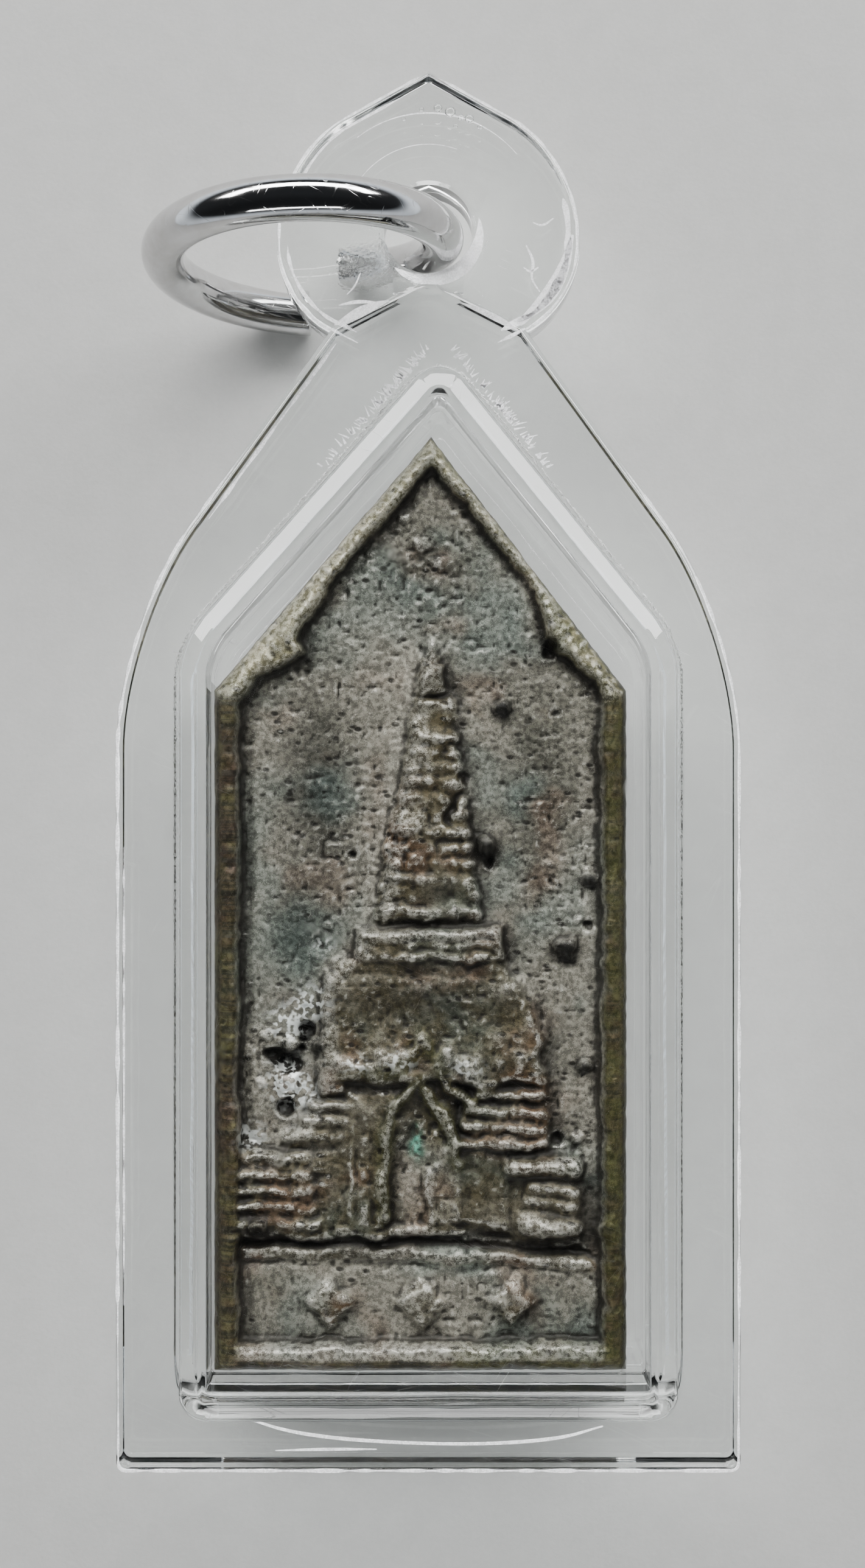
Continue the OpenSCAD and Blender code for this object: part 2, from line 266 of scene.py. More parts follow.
class NodeTree:
    """A short way to write a shader's or a group's nodes."""

    def __init__(self, tree: bpy.types.NodeTree) -> None:
        """Keeps the tree that the nodes go into."""
        self.tree = tree

    def add(self, kind: str, **inputs: object) -> bpy.types.Node:
        """Adds a node and sets its inputs.

        Args:
            kind: the node's type.
            **inputs: sockets to link or values to set, named as the inputs with _ for a space.

        Returns:
            The node.
        """
        node = self.tree.nodes.new(kind)
        for key, value in inputs.items():
            self.set(node, key.replace("_", " "), value)
        return node

    def set(self, node: bpy.types.Node, key: str | int, value: object) -> None:
        """Links a socket or sets a plain value.

        Args:
            node: the node to change.
            key: the input's name or place.
            value: an output socket, or a plain value.
        """
        if isinstance(value, bpy.types.NodeSocket):
            self.tree.links.new(value, node.inputs[key])
        else:
            node.inputs[key].default_value = value

    def maths(self, operation: str, *values: object, clamp: bool = False) -> bpy.types.NodeSocket:
        """A Math node on sockets or numbers.

        Args:
            operation: what it does.
            *values: its inputs in order.
            clamp: whether the result is held between 0 and 1.

        Returns:
            Its output.
        """
        node = self.tree.nodes.new("ShaderNodeMath")
        node.operation = operation
        node.use_clamp = clamp
        for i, value in enumerate(values):
            self.set(node, i, value)
        return node.outputs[0]

    def ramp(
        self, value: object, low: float, high: float, start: float = 0.0, end: float = 1.0
    ) -> bpy.types.NodeSocket:
        """A smooth step of a value, from one level to another.

        Args:
            value: the socket that is read.
            low: where the step starts.
            high: where it ends.
            start: the result at and below low.
            end: the result at and above high.

        Returns:
            The stepped value.
        """
        node = self.tree.nodes.new("ShaderNodeMapRange")
        node.interpolation_type = "SMOOTHSTEP"
        for key, number in zip(("Value", "From Min", "From Max", "To Min", "To Max"), (value, low, high, start, end)):
            self.set(node, key, number)
        return node.outputs["Result"]

    def noise(self, where: object, scale: object, detail: float = 3.0, rough: float = 0.5) -> bpy.types.NodeSocket:
        """A noise texture's value.

        Args:
            where: the coordinates that it reads.
            scale: its scale.
            detail: how many octaves it has.
            rough: how strong the fine octaves are.

        Returns:
            The value, round 0.5.
        """
        node = self.add("ShaderNodeTexNoise", Vector=where, Scale=scale, Detail=detail, Roughness=rough)
        return node.outputs["Fac"]

    def blend(self, share: object, first: object, second: object, how: str = "MIX") -> bpy.types.NodeSocket:
        """A mix of two colours.

        Args:
            share: how much of the second there is.
            first: the first colour.
            second: the second colour.
            how: the way that they are mixed.

        Returns:
            The mixed colour.
        """
        node = self.tree.nodes.new("ShaderNodeMix")
        node.data_type = "RGBA"
        node.blend_type = how
        self.set(node, 0, share)
        self.set(node, 6, first)
        self.set(node, 7, second)
        return node.outputs[2]

    def turned(self, where: object, degrees: Triple, scale: Triple) -> bpy.types.NodeSocket:
        """Coordinates turned and stretched by a Mapping node.

        Args:
            where: the coordinates.
            degrees: the turn about each axis.
            scale: the stretch along each axis, after the turn.

        Returns:
            The new coordinates.
        """
        turn = self.add("ShaderNodeVectorRotate", Vector=where)
        turn.rotation_type = "EULER_XYZ"
        turn.inputs["Rotation"].default_value = [math.radians(d) for d in degrees]
        node = self.add("ShaderNodeMapping", Vector=turn.outputs[0])
        node.inputs["Scale"].default_value = scale
        return node.outputs[0]

    def attribute(self, name: str) -> bpy.types.NodeSocket:
        """The value of one of the mesh's own attributes."""
        node = self.tree.nodes.new("ShaderNodeAttribute")
        node.attribute_name = name
        return node.outputs["Fac"]


def shader_group(
    name: str, inputs: dict[str, float], outputs: Iterable[str]
) -> tuple[bpy.types.NodeTree, NodeTree, bpy.types.Node, bpy.types.Node]:
    """Starts a shader node group.

    Args:
        name: the group's name.
        inputs: its float inputs with their defaults.
        outputs: the names of its float outputs.

    Returns:
        The group, its node writer, its input node and its output node.
    """
    tree = bpy.data.node_groups.new(name, "ShaderNodeTree")
    for key, value in inputs.items():
        socket = tree.interface.new_socket(key, in_out="INPUT", socket_type="NodeSocketFloat")
        socket.default_value = value
    for key in outputs:
        tree.interface.new_socket(key, in_out="OUTPUT", socket_type="NodeSocketFloat")
    writer = NodeTree(tree)
    return tree, writer, writer.add("NodeGroupInput"), writer.add("NodeGroupOutput")


class SharedEffects:
    """The node groups that more than one finish uses."""

    def __init__(self) -> None:
        """Builds the groups once."""
        self.mottle = self._mottle()
        self.grain = self._grain()
        self.scratches = self._scratches()

    def _mottle(self) -> bpy.types.NodeTree:
        """Cloudy variation in two sizes.

        Returns:
            The group. Its Scale is in clouds per metre, and Spread sets its contrast.
        """
        tree, nodes, given, out = shader_group("mottle", {"Scale": 300.0, "Spread": 0.2}, ("Mask",))
        where = nodes.add("ShaderNodeTexCoord").outputs["Object"]
        wide = nodes.noise(where, given.outputs["Scale"], 2.0, 0.55)
        fine_scale = nodes.maths("MULTIPLY", given.outputs["Scale"], 5.3)
        fine = nodes.noise(where, fine_scale, 1.0, 0.6)
        both = nodes.maths("MULTIPLY_ADD", fine, 0.4, nodes.maths("MULTIPLY", wide, 0.6))
        low = nodes.maths("SUBTRACT", 0.5, given.outputs["Spread"])
        high = nodes.maths("ADD", 0.5, given.outputs["Spread"])
        nodes.set(out, "Mask", nodes.ramp(both, low, high))
        return tree

    def _grain(self) -> bpy.types.NodeTree:
        """Fine rough grain with scattered pits.

        Returns:
            The group. Its Scale is in grains per metre. Height is for a Bump node.
        """
        tree, nodes, given, out = shader_group("grain", {"Scale": 6000.0, "Pits": 0.5}, ("Height", "Pit"))
        where = nodes.add("ShaderNodeTexCoord").outputs["Object"]
        base = nodes.noise(where, given.outputs["Scale"], 5.0, 0.62)
        cells = nodes.add("ShaderNodeTexVoronoi", Vector=nodes.turned(where, (0, 0, 6), (0.62, 1.0, 1.0)))
        cells.feature = "F1"
        nodes.set(cells, "Scale", nodes.maths("MULTIPLY", given.outputs["Scale"], 0.42))
        hole = nodes.ramp(cells.outputs["Distance"], 0.16, 0.36, 1.0, 0.0)
        wide_scale = nodes.maths("MULTIPLY", given.outputs["Scale"], 0.13)
        where_pitted = nodes.ramp(nodes.noise(where, wide_scale, 2.0), 0.4, 0.6)
        pit = nodes.maths("MULTIPLY", nodes.maths("MULTIPLY", hole, where_pitted), given.outputs["Pits"])
        nodes.set(out, "Height", nodes.maths("SUBTRACT", base, pit))
        nodes.set(out, "Pit", pit)
        return tree

    def _scratches(self) -> bpy.types.NodeTree:
        """Thin straight scratches in two directions.

        Returns:
            The group. Its Scale is in scratches per metre, and Amount is the share that shows.
        """
        tree, nodes, given, out = shader_group("scratches", {"Scale": 900.0, "Amount": 0.5}, ("Mask",))
        where = nodes.add("ShaderNodeTexCoord").outputs["Object"]
        patch = nodes.noise(where, nodes.maths("MULTIPLY", given.outputs["Scale"], 0.4), 0.0)
        total: object = 0.0
        for degrees, stretch, low in ((23.0, 0.035, 0.52), (118.0, 0.05, 0.48)):
            lane = nodes.turned(where, (0, 0, degrees), (stretch, 1.0, 1.0))
            lines = nodes.noise(lane, given.outputs["Scale"], 0.0)
            edge = nodes.maths("ABSOLUTE", nodes.maths("SUBTRACT", lines, 0.5))
            some = nodes.ramp(patch, low, 1.16 - low) if low > 0.5 else nodes.ramp(patch, low, low - 0.14)
            total = nodes.maths("MAXIMUM", total, nodes.maths("MULTIPLY", nodes.ramp(edge, 0.0, 0.012, 1.0, 0.0), some))
        nodes.set(out, "Mask", nodes.maths("MULTIPLY", total, given.outputs["Amount"]))
        return tree


@dataclass(frozen=True)
class ClearAcrylic:
    """Clear moulded plastic with hair scratches, a slightly wavy face and roughened places."""

    name: str
    scratch_amount: float = 0.5
    haze: float = 0.02
    ior: float = 1.49
    wave_depth: float = 0.00003
    frost_depth: float = 0.00005
    shadow_tint: Colour = (0.97, 0.975, 0.975, 1.0)

    def material(self, shared: SharedEffects) -> bpy.types.Material:
        """Builds the material.

        Args:
            shared: the node groups that it uses.

        Returns:
            The material.
        """
        made, nodes, shader, out = plain_material(self.name)
        marks = group_node(nodes, shared.scratches, Scale=1400.0, Amount=self.scratch_amount)
        frost = nodes.attribute("frost")
        where = nodes.add("ShaderNodeTexCoord").outputs["Object"]
        wave = nodes.noise(where, 420.0, 0.0)
        hazy = nodes.maths("MULTIPLY_ADD", frost, 0.2, nodes.maths("MULTIPLY", wave, self.haze))
        nodes.set(shader, "Roughness", nodes.maths("MULTIPLY_ADD", marks.outputs["Mask"], 0.25, hazy))
        crumbs = nodes.noise(where, 9000.0, 1.0, 0.5)
        rough = nodes.maths("MULTIPLY", frost, nodes.maths("MULTIPLY", crumbs, self.frost_depth / self.wave_depth))
        waved = nodes.maths("ADD", wave, rough)
        bump = nodes.add("ShaderNodeBump", Strength=0.6, Distance=self.wave_depth, Height=waved)
        nodes.set(shader, "Normal", bump.outputs["Normal"])
        shader.inputs["Base Color"].default_value = (0.985, 0.995, 0.99, 1.0)
        shader.inputs["Transmission Weight"].default_value = 1.0
        shader.inputs["IOR"].default_value = self.ior
        pass_light = nodes.add("ShaderNodeBsdfTransparent", Color=self.shadow_tint)
        path = nodes.add("ShaderNodeLightPath")
        mix = nodes.add("ShaderNodeMixShader")
        nodes.set(mix, 0, path.outputs["Is Shadow Ray"])
        nodes.set(mix, 1, shader.outputs[0])
        nodes.set(mix, 2, pass_light.outputs[0])
        nodes.set(out, "Surface", mix.outputs[0])
        return made


@dataclass(frozen=True)
class PolishedSteel:
    """Bright steel wire, handled but still shiny."""

    name: str
    colour: Colour = (0.66, 0.66, 0.67, 1.0)

    def material(self, shared: SharedEffects) -> bpy.types.Material:
        """Builds the material.

        Args:
            shared: the node groups that it uses.

        Returns:
            The material.
        """
        made, nodes, shader, _ = plain_material(self.name)
        marks = group_node(nodes, shared.scratches, Scale=3000.0, Amount=0.6)
        smear = group_node(nodes, shared.mottle, Scale=500.0, Spread=0.25)
        soft = nodes.maths("MULTIPLY_ADD", smear.outputs["Mask"], 0.07, 0.05)
        nodes.set(shader, "Roughness", nodes.maths("MULTIPLY_ADD", marks.outputs["Mask"], 0.2, soft))
        bump = nodes.add("ShaderNodeBump", Strength=0.2, Distance=0.00001, Height=marks.outputs["Mask"])
        nodes.set(shader, "Normal", bump.outputs["Normal"])
        nodes.set(shader, "Base Color", nodes.blend(smear.outputs["Mask"], self.colour, (0.55, 0.54, 0.53, 1.0)))
        shader.inputs["Metallic"].default_value = 1.0
        return made


@dataclass(frozen=True)
class PaleCard:
    """The pale card that the pendant lies on."""

    name: str
    colour: Colour = (0.39, 0.39, 0.38, 1.0)

    def material(self, shared: SharedEffects) -> bpy.types.Material:
        """Builds the material.

        Args:
            shared: the node groups that it uses.

        Returns:
            The material.
        """
        made, nodes, shader, _ = plain_material(self.name)
        tone = group_node(nodes, shared.mottle, Scale=900.0, Spread=0.3)
        nodes.set(shader, "Base Color", nodes.blend(tone.outputs["Mask"], self.colour, (0.43, 0.43, 0.42, 1.0)))
        grain = group_node(nodes, shared.grain, Scale=5000.0, Pits=0.0)
        bump = nodes.add("ShaderNodeBump", Strength=0.3, Distance=0.00003, Height=grain.outputs["Height"])
        nodes.set(shader, "Normal", bump.outputs["Normal"])
        shader.inputs["Roughness"].default_value = 0.6
        return made


def plain_material(name: str) -> tuple[bpy.types.Material, NodeTree, bpy.types.Node, bpy.types.Node]:
    """Starts a material with one Principled shader.

    Args:
        name: the material's name.

    Returns:
        The material, its node writer, its shader and its output node.
    """
    made = bpy.data.materials.new(name)
    made.use_nodes = True
    made.node_tree.nodes.clear()
    nodes = NodeTree(made.node_tree)
    shader = nodes.add("ShaderNodeBsdfPrincipled")
    out = nodes.add("ShaderNodeOutputMaterial", Surface=shader.outputs[0])
    return made, nodes, shader, out


def group_node(nodes: NodeTree, tree: bpy.types.NodeTree, **values: float) -> bpy.types.Node:
    """Places a shared group in a material.

    Args:
        nodes: the material's node writer.
        tree: the group.
        **values: its own values here.

    Returns:
        The group's node.
    """
    node = nodes.add("ShaderNodeGroup")
    node.node_tree = tree
    for key, value in values.items():
        node.inputs[key].default_value = value
    return node


# The pieces


@dataclass
class SplitRing:
    """The steel ring of one turn of wire, whose two ends stand apart at the seam."""

    outer_d: float = 11.7
    wire_d: float = 1.57
    lean_deg: float = 3.6
    turn_deg: float = -0.6
    seam_deg: float = -83.2
    seam_gap: float = 1.28
    end_step: float = 1.7
    shift: Triple = (0.066, -0.158, 0.0)
    end_round: float = 0.06
    wire_segments: int = 32
    turn_segments: int = 160

    def build(self) -> bpy.types.Object:
        """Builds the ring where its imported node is.

        Returns:
            The ring.
        """
        radius = (self.outer_d - self.wire_d) / 2
        gap = self.seam_gap / radius
        bm = bmesh.new()
        wire = bmesh.ops.create_circle(bm, segments=self.wire_segments, radius=self.wire_d / 2)
        bmesh.ops.rotate(bm, verts=wire["verts"], matrix=Matrix.Rotation(math.pi / 2, 3, "X"))
        bmesh.ops.translate(bm, verts=bm.verts, vec=(radius, 0, -self.end_step / 2))
        bmesh.ops.rotate(bm, verts=bm.verts, matrix=Matrix.Rotation(math.radians(self.seam_deg) + gap / 2, 3, "Z"))
        bmesh.ops.spin(
            bm, geom=list(bm.edges), cent=(0, 0, 0), axis=(0, 0, 1), angle=2 * math.pi - gap,
            dvec=(0, 0, self.end_step / self.turn_segments), steps=self.turn_segments, use_merge=False,
        )
        ends = [edge for edge in bm.edges if edge.is_boundary]
        caps = bmesh.ops.holes_fill(bm, edges=ends, sides=0)["faces"]
        bmesh.ops.bevel(
            bm, geom=[edge for face in caps for edge in face.edges], offset=self.end_round,
            offset_type="OFFSET", segments=3, profile=0.5, affect="EDGES", material=-1,
        )
        bmesh.ops.recalc_face_normals(bm, faces=bm.faces)
        stand = Matrix.Rotation(math.radians(self.turn_deg), 4, "Z")
        stand @= Matrix.Rotation(math.radians(90 - self.lean_deg), 4, "X")
        stand = Matrix.Translation(object_centre("ring") + Vector(self.shift)) @ stand
        bmesh.ops.transform(bm, verts=bm.verts, matrix=stand)
        return new_object(bm, "split_ring")

    def dress(self, shared: SharedEffects) -> bpy.types.Object:
        """Builds the ring and gives it its finish.

        Args:
            shared: the node groups that the finishes share.

        Returns:
            The finished ring.
        """
        made = self.build()
        made.data.materials.append(PolishedSteel("polished_steel").material(shared))
        return placed(made, "ring")


def placed(made: bpy.types.Object, node: str) -> bpy.types.Object:
    """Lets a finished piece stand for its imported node.

    Args:
        made: the piece.
        node: the node that it replaces.

    Returns:
        The same piece.
    """
    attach(made, BODY)
    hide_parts(node)
    return made


# The cast plaque and its relief. Places on it are in millimetres from its bottom centre, and
# heights are above its sunk field.


class Work(Enum):
    """How a form changes the relief."""

    RAISE = "raise"
    SINK = "sink"
    LEVEL = "level"


@dataclass(frozen=True)
class Form:
    """One form of the relief: an outline, or a line with a width."""

    points: tuple[Point, ...]
    height: float
    work: Work = Work.RAISE
    width: float = 0.0
    soft: float = 0.22
    dome: float = 0.0


@dataclass(frozen=True)
class Knob:
    """A small round bump, or a pit where its height is negative."""

    x: float
    y: float
    radius: float
    height: float


def smooth_step(value: np.ndarray) -> np.ndarray:
    """A smooth rise from 0 to 1."""
    held = np.clip(value, 0.0, 1.0)
    return held * held * (3.0 - 2.0 * held)


def soft_spot(x: np.ndarray, y: np.ndarray, centre: Point, reach: Point) -> np.ndarray:
    """A round patch that fades out.

    Args:
        x: the points' places across.
        y: the points' places along.
        centre: the patch's middle.
        reach: how far it reaches, across and along.

    Returns:
        1 at its middle, falling to 0.
    """
    return np.exp(-(((x - centre[0]) / reach[0]) ** 2) - ((y - centre[1]) / reach[1]) ** 2)


def value_noise(x: np.ndarray, y: np.ndarray, size: float, seed: int, stretch: float = 1.0) -> np.ndarray:
    """Smooth random values between -1 and 1.

    Args:
        x: the points' places across.
        y: the points' places along.
        size: how far one value reaches.
        seed: which set of values.
        stretch: how much longer the values reach along y.

    Returns:
        The values.
    """
    across, along = (x - x.min()) / size, (y - y.min()) / (size * stretch)
    column, row = np.floor(across).astype(int), np.floor(along).astype(int)
    lattice = np.random.default_rng(seed).uniform(-1, 1, (row.max() + 2, column.max() + 2))
    u, v = smooth_step(across - column), smooth_step(along - row)
    low = lattice[row, column] * (1 - u) + lattice[row, column + 1] * u
    high = lattice[row + 1, column] * (1 - u) + lattice[row + 1, column + 1] * u
    return low * (1 - v) + high * v


def box_blur(values: np.ndarray, reach: int) -> np.ndarray:
    """The mean of each value's neighbourhood.

    Args:
        values: a grid.
        reach: how many points it reaches to each side.

    Returns:
        The blurred grid.
    """
    for axis in (0, 1):
        pad = [(reach + 1, reach) if a == axis else (0, 0) for a in (0, 1)]
        total = np.cumsum(np.pad(values, pad, mode="edge"), axis=axis)
        span = 2 * reach + 1
        high = np.take(total, np.arange(span, total.shape[axis]), axis=axis)
        low = np.take(total, np.arange(0, total.shape[axis] - span), axis=axis)
        values = (high - low) / span
    return values


def distance_to(x: np.ndarray, y: np.ndarray, points: tuple[Point, ...], closed: bool) -> np.ndarray:
    """How far points are from a line of straight stretches.

    Args:
        x: the points' places across.
        y: the points' places along.
        points: the line's corners.
        closed: whether it is an outline, inside which distances are negative.

    Returns:
        The distances.
    """
    nearest = np.full(x.shape, np.inf)
    inside = np.zeros(x.shape, bool)
    ends = [*points, points[0]] if closed else list(points)
    for (ax, ay), (bx, by) in zip(ends, ends[1:]):
        dx, dy = bx - ax, by - ay
        share = np.clip(((x - ax) * dx + (y - ay) * dy) / (dx * dx + dy * dy), 0.0, 1.0)
        nearest = np.minimum(nearest, np.hypot(x - ax - share * dx, y - ay - share * dy))
        if closed and dy:
            inside ^= ((ay > y) != (by > y)) & (x < ax + (y - ay) * dx / dy)
    return np.where(inside, -nearest, nearest)


@dataclass
class StupaRelief:
    """The heights and wear of the plaque's cast face, with masks for its painted shade and highlights, worked out on a
    fine grid of points.
    """

    outline: tuple[Point, ...]
    gable_foot: float = 24.9
    rim_top: float = 0.8
    field_half: float = 6.73
    sill_y: float = 0.8
    pitch: float = 0.05
    warp: float = 0.09
    ring_count: int = 14
    field_arch: tuple[Point, ...] = (
        (6.74, 24.6), (6.45, 25.3), (5.6, 25.95), (4.72, 26.35), (4.62, 26.9), (4.5, 27.8), (4.1, 28.8), (0.47, 33.25),
        (-1.84, 30.6), (-3.08, 29.2), (-3.95, 27.85), (-4.48, 27.05), (-4.62, 26.65), (-4.36, 26.2), (-5.2, 25.75),
        (-6.1, 25.3), (-6.72, 24.3),
    )

    pale_bands: tuple[tuple[tuple[Point, ...], float, float], ...] = (
        (((-2.0, 16.6), (-0.25, 26.2)), 0.42, 0.95),
        (((2.3, 24.7), (4.2, 20.5), (6.1, 16.0)), 0.5, 0.55),
        (((6.25, 22.0), (6.3, 7.2)), 0.42, 0.8),
        (((-5.9, 24.0), (-6.1, 14.0)), 0.42, 0.5),
        (((-3.6, 15.6), (-4.3, 13.0), (-5.6, 9.4)), 0.5, 0.5),
        (((-3.5, 14.7), (3.7, 14.6)), 0.25, 0.7),
    )

    def __post_init__(self) -> None:
        """Works out the whole relief once."""
        margin = 0.4
        ends = np.array(self.outline)
        low, high = ends.min(axis=0) - margin, ends.max(axis=0) + margin
        across, along = (np.arange(low[i], high[i], self.pitch) for i in (0, 1))
        self.x, self.y = np.meshgrid(across, along)
        wave = [
            value_noise(self.x, self.y, 0.9, seed) + 0.75 * value_noise(self.x, self.y, 0.34, seed + 9)
            for seed in (11, 12)
        ]
        self.wx, self.wy = self.x + self.warp * wave[0], self.y + self.warp * wave[1]
        self.z = np.zeros(self.x.shape)
        self.masks = {name: np.zeros(self.x.shape) for name in ("stupa", "shine", "dark", "green")}
        self.cut_field()
        self.raise_spire()
        self.raise_bell()
        self.raise_porch()
        self.raise_mouldings()
        self.raise_terrace()
        self.lay_base()
        self.raise_panel()
        self.wear_down()
        self.dot_knobs()
        self.roughen()
        near = box_blur(box_blur(self.z, 2), 2)
        # The wide blur is shifted down and to the right, so the recess mask paints shade below and to the right of each
        # form, as if lit from the upper left: painted shade, with dirt.
        wide = np.roll(box_blur(box_blur(self.z, 7), 7), (-3, 3), axis=(0, 1))
        rim_foot = smooth_step(3.0 * box_blur(self.masks["rim"], 8)) * smooth_step(0.5 - self.x)
        self.masks["recess"] = np.minimum(smooth_step(0.5 + (wide - near) / 0.34), 1.0 - 0.2 * rim_foot)
        self.masks["fine"] = smooth_step(0.5 + (near - self.z) / 0.1)

    def stamp(self, form: Form, mask: str | None = "stupa") -> None:
        """Works one form into the relief.

        Args:
            form: the form.
            mask: the wear mask that it also marks, if any.
        """
        xs, ys = zip(*form.points)
        reach = form.width + form.soft + 3 * self.warp
        column, row = self.x[0], self.y[:, 0]
        rows = (row > min(ys) - reach) & (row < max(ys) + reach)
        columns = (column > min(xs) - reach) & (column < max(xs) + reach)
        box = np.ix_(rows, columns)
        line = form.width > 0
        far = distance_to(self.wx[box], self.wy[box], form.points, not line)
        if line:
            share = np.sqrt(np.clip(1.0 - (far / (form.width / 2)) ** 2, 0.0, 1.0))
        else:
            share = smooth_step(0.5 - far / form.soft)
        level = form.height * share + form.dome * smooth_step(-far / 1.2)
        if form.work is Work.RAISE:
            self.z[box] = np.maximum(self.z[box], level)
        elif form.work is Work.SINK:
            self.z[box] -= level
        else:
            self.z[box] += share * (form.height - self.z[box])
        if mask:
            self.masks[mask][box] = np.maximum(self.masks[mask][box], share)

    def bars(self, rows: Iterable[Four], width: float, height: float) -> None:
        """Raises a stack of round bars.

        Args:
            rows: each bar's left end, right end, height along the plaque there, and there.
            width: how wide each bar is.
            height: how high each one stands.
        """
        for left, right, y_left, y_right in rows:
            self.stamp(Form(((left, y_left), (right, y_right)), height, width=width))

    def cut_field(self) -> None:
        """Raises the rim round the field, and the lip under the panel."""
        field = ((-self.field_half, self.sill_y), (self.field_half, self.sill_y), *self.field_arch)
        far = distance_to(self.wx, self.wy, field, True)
        edge = distance_to(self.x, self.y, self.outline, True)
        rim = smooth_step(0.5 + far / 0.24)
        fall = 0.3 * np.square(np.clip(1.0 + edge / 0.6, 0.0, 1.5))
        side = np.where(self.x < 0, 1.0, -1.0)
        run = self.x * side + self.y * 1.38
        reed = 0.5 + 0.5 * np.sin(run * 9.0 + 3.0 * value_noise(self.x, self.y, 1.1, 3))
        high = smooth_step((self.y - self.gable_foot + 0.6) / 0.8)
        lumps = 0.05 * value_noise(self.x, self.y, 0.7, 5) + 0.04 * value_noise(self.x, self.y, 0.3, 6)
        self.z += rim * (self.rim_top - fall + lumps - 0.1 * reed * high)
        self.z -= 0.09 * smooth_step(1.0 + (far + 0.1) / 0.5) * (1.0 - rim)
        self.masks["gable"] = rim * high
        lip = smooth_step((0.95 - self.y) / 0.2) * smooth_step((6.9 - abs(self.x)) / 0.5)
        self.masks["rim"] = rim * (1.0 - high) * (1.0 - 0.85 * lip * smooth_step((self.y - 0.1) / 0.25))
        notches = smooth_step(0.5 + 2.0 * value_noise(self.x, 0.2 * self.y, 0.4, 8))
        self.masks["dark"] += 0.75 * lip * notches * smooth_step((0.3 - self.y) / 0.2)
        ragged = 0.4 + 0.6 * smooth_step(0.5 + 1.5 * value_noise(self.x, self.y, 0.25, 7))
        mossy = soft_spot(self.x, self.y, (4.85, 27.5), (0.9, 1.4)) + 0.38 * smooth_step((self.x - 0.6) / 0.9)
        self.masks["moss"] = 0.9 * ragged * rim * smooth_step(1.6 * mossy)

    def raise_spire(self) -> None:
        """Raises the ringed spire and its finial."""
        foot, top = 16.4, 24.6
        self.stamp(Form(((-1.5, 16.3), (2.2, 16.3), (1.15, 24.6), (-0.02, 24.6)), 0.4, dome=0.16, soft=0.3))
        step = (top - foot) / self.ring_count
        for i in range(self.ring_count):
            share = (i + 0.5) / self.ring_count
            left, right = -1.32 + 1.4 * share, 2.02 - 0.95 * share
            rise = 0.64 - 0.1 * share + 0.06 * math.sin(i * 4.1)
            bend = foot + (i + 0.5) * step
            tilt = 0.1 * math.sin(i * 2.3)
            ring = ((left, bend - tilt), ((left + right) / 2, bend + 0.05), (right, bend + tilt))
            self.stamp(Form(ring, rise, width=step * 0.86))
        self.stamp(Form(((-1.62, 16.3), (-0.16, 24.2), (0.12, 26.0)), 0.26, width=0.3))
        self.stamp(Form(((1.66, 21.7), (1.0, 20.0)), 0.3, Work.SINK, width=0.26))
        self.stamp(Form(((-0.08, 24.72), (0.98, 24.72), (0.84, 25.75), (0.1, 25.75)), 0.56, soft=0.26))
        self.stamp(Form(((-0.1, 24.58), (1.0, 24.58)), 0.2, Work.SINK, width=0.22))
        self.stamp(Form(((0.16, 25.7), (0.76, 25.7), (0.52, 26.75)), 0.42, soft=0.24))

    def raise_bell(self) -> None:
        """Raises the bell, its ledge and the square box over it."""
        bell = ((-3.55, 10.3), (4.62, 10.3), (4.5, 11.9), (4.1, 13.4), (3.2, 14.45), (-3.45, 14.45))
        self.stamp(Form(bell, 0.42, dome=0.12, soft=0.6))
        bulge = smooth_step((13.6 - self.y) / 3.2) * self.masks["stupa"] * smooth_step((self.y - 9.9) / 0.6)
        self.z += 0.2 * bulge * (self.y < 14.0)
        for centre, reach, depth in (((-1.6, 12.6), (1.3, 1.1), 0.16), ((2.2, 12.7), (1.2, 1.2), 0.12)):
            self.z -= depth * soft_spot(self.x, self.y, centre, reach)
        self.stamp(Form(((-3.3, 14.2), (-3.4, 10.4)), 0.5, width=0.7))
        self.stamp(Form(((-3.3, 14.25), (3.3, 14.25), (3.1, 14.95), (-3.1, 14.95)), 0.36, soft=0.3))
        self.stamp(Form(((-2.5, 14.85), (3.12, 14.85), (3.05, 16.05), (-2.42, 16.05)), 0.62, soft=0.3))
        self.stamp(Form(((-2.2, 15.15), (2.8, 15.15), (2.75, 15.72), (-2.15, 15.72)), 0.14, Work.SINK, soft=0.2))
        self.bars(((-2.0, 2.6, 15.42, 15.47),), 0.26, 0.6)

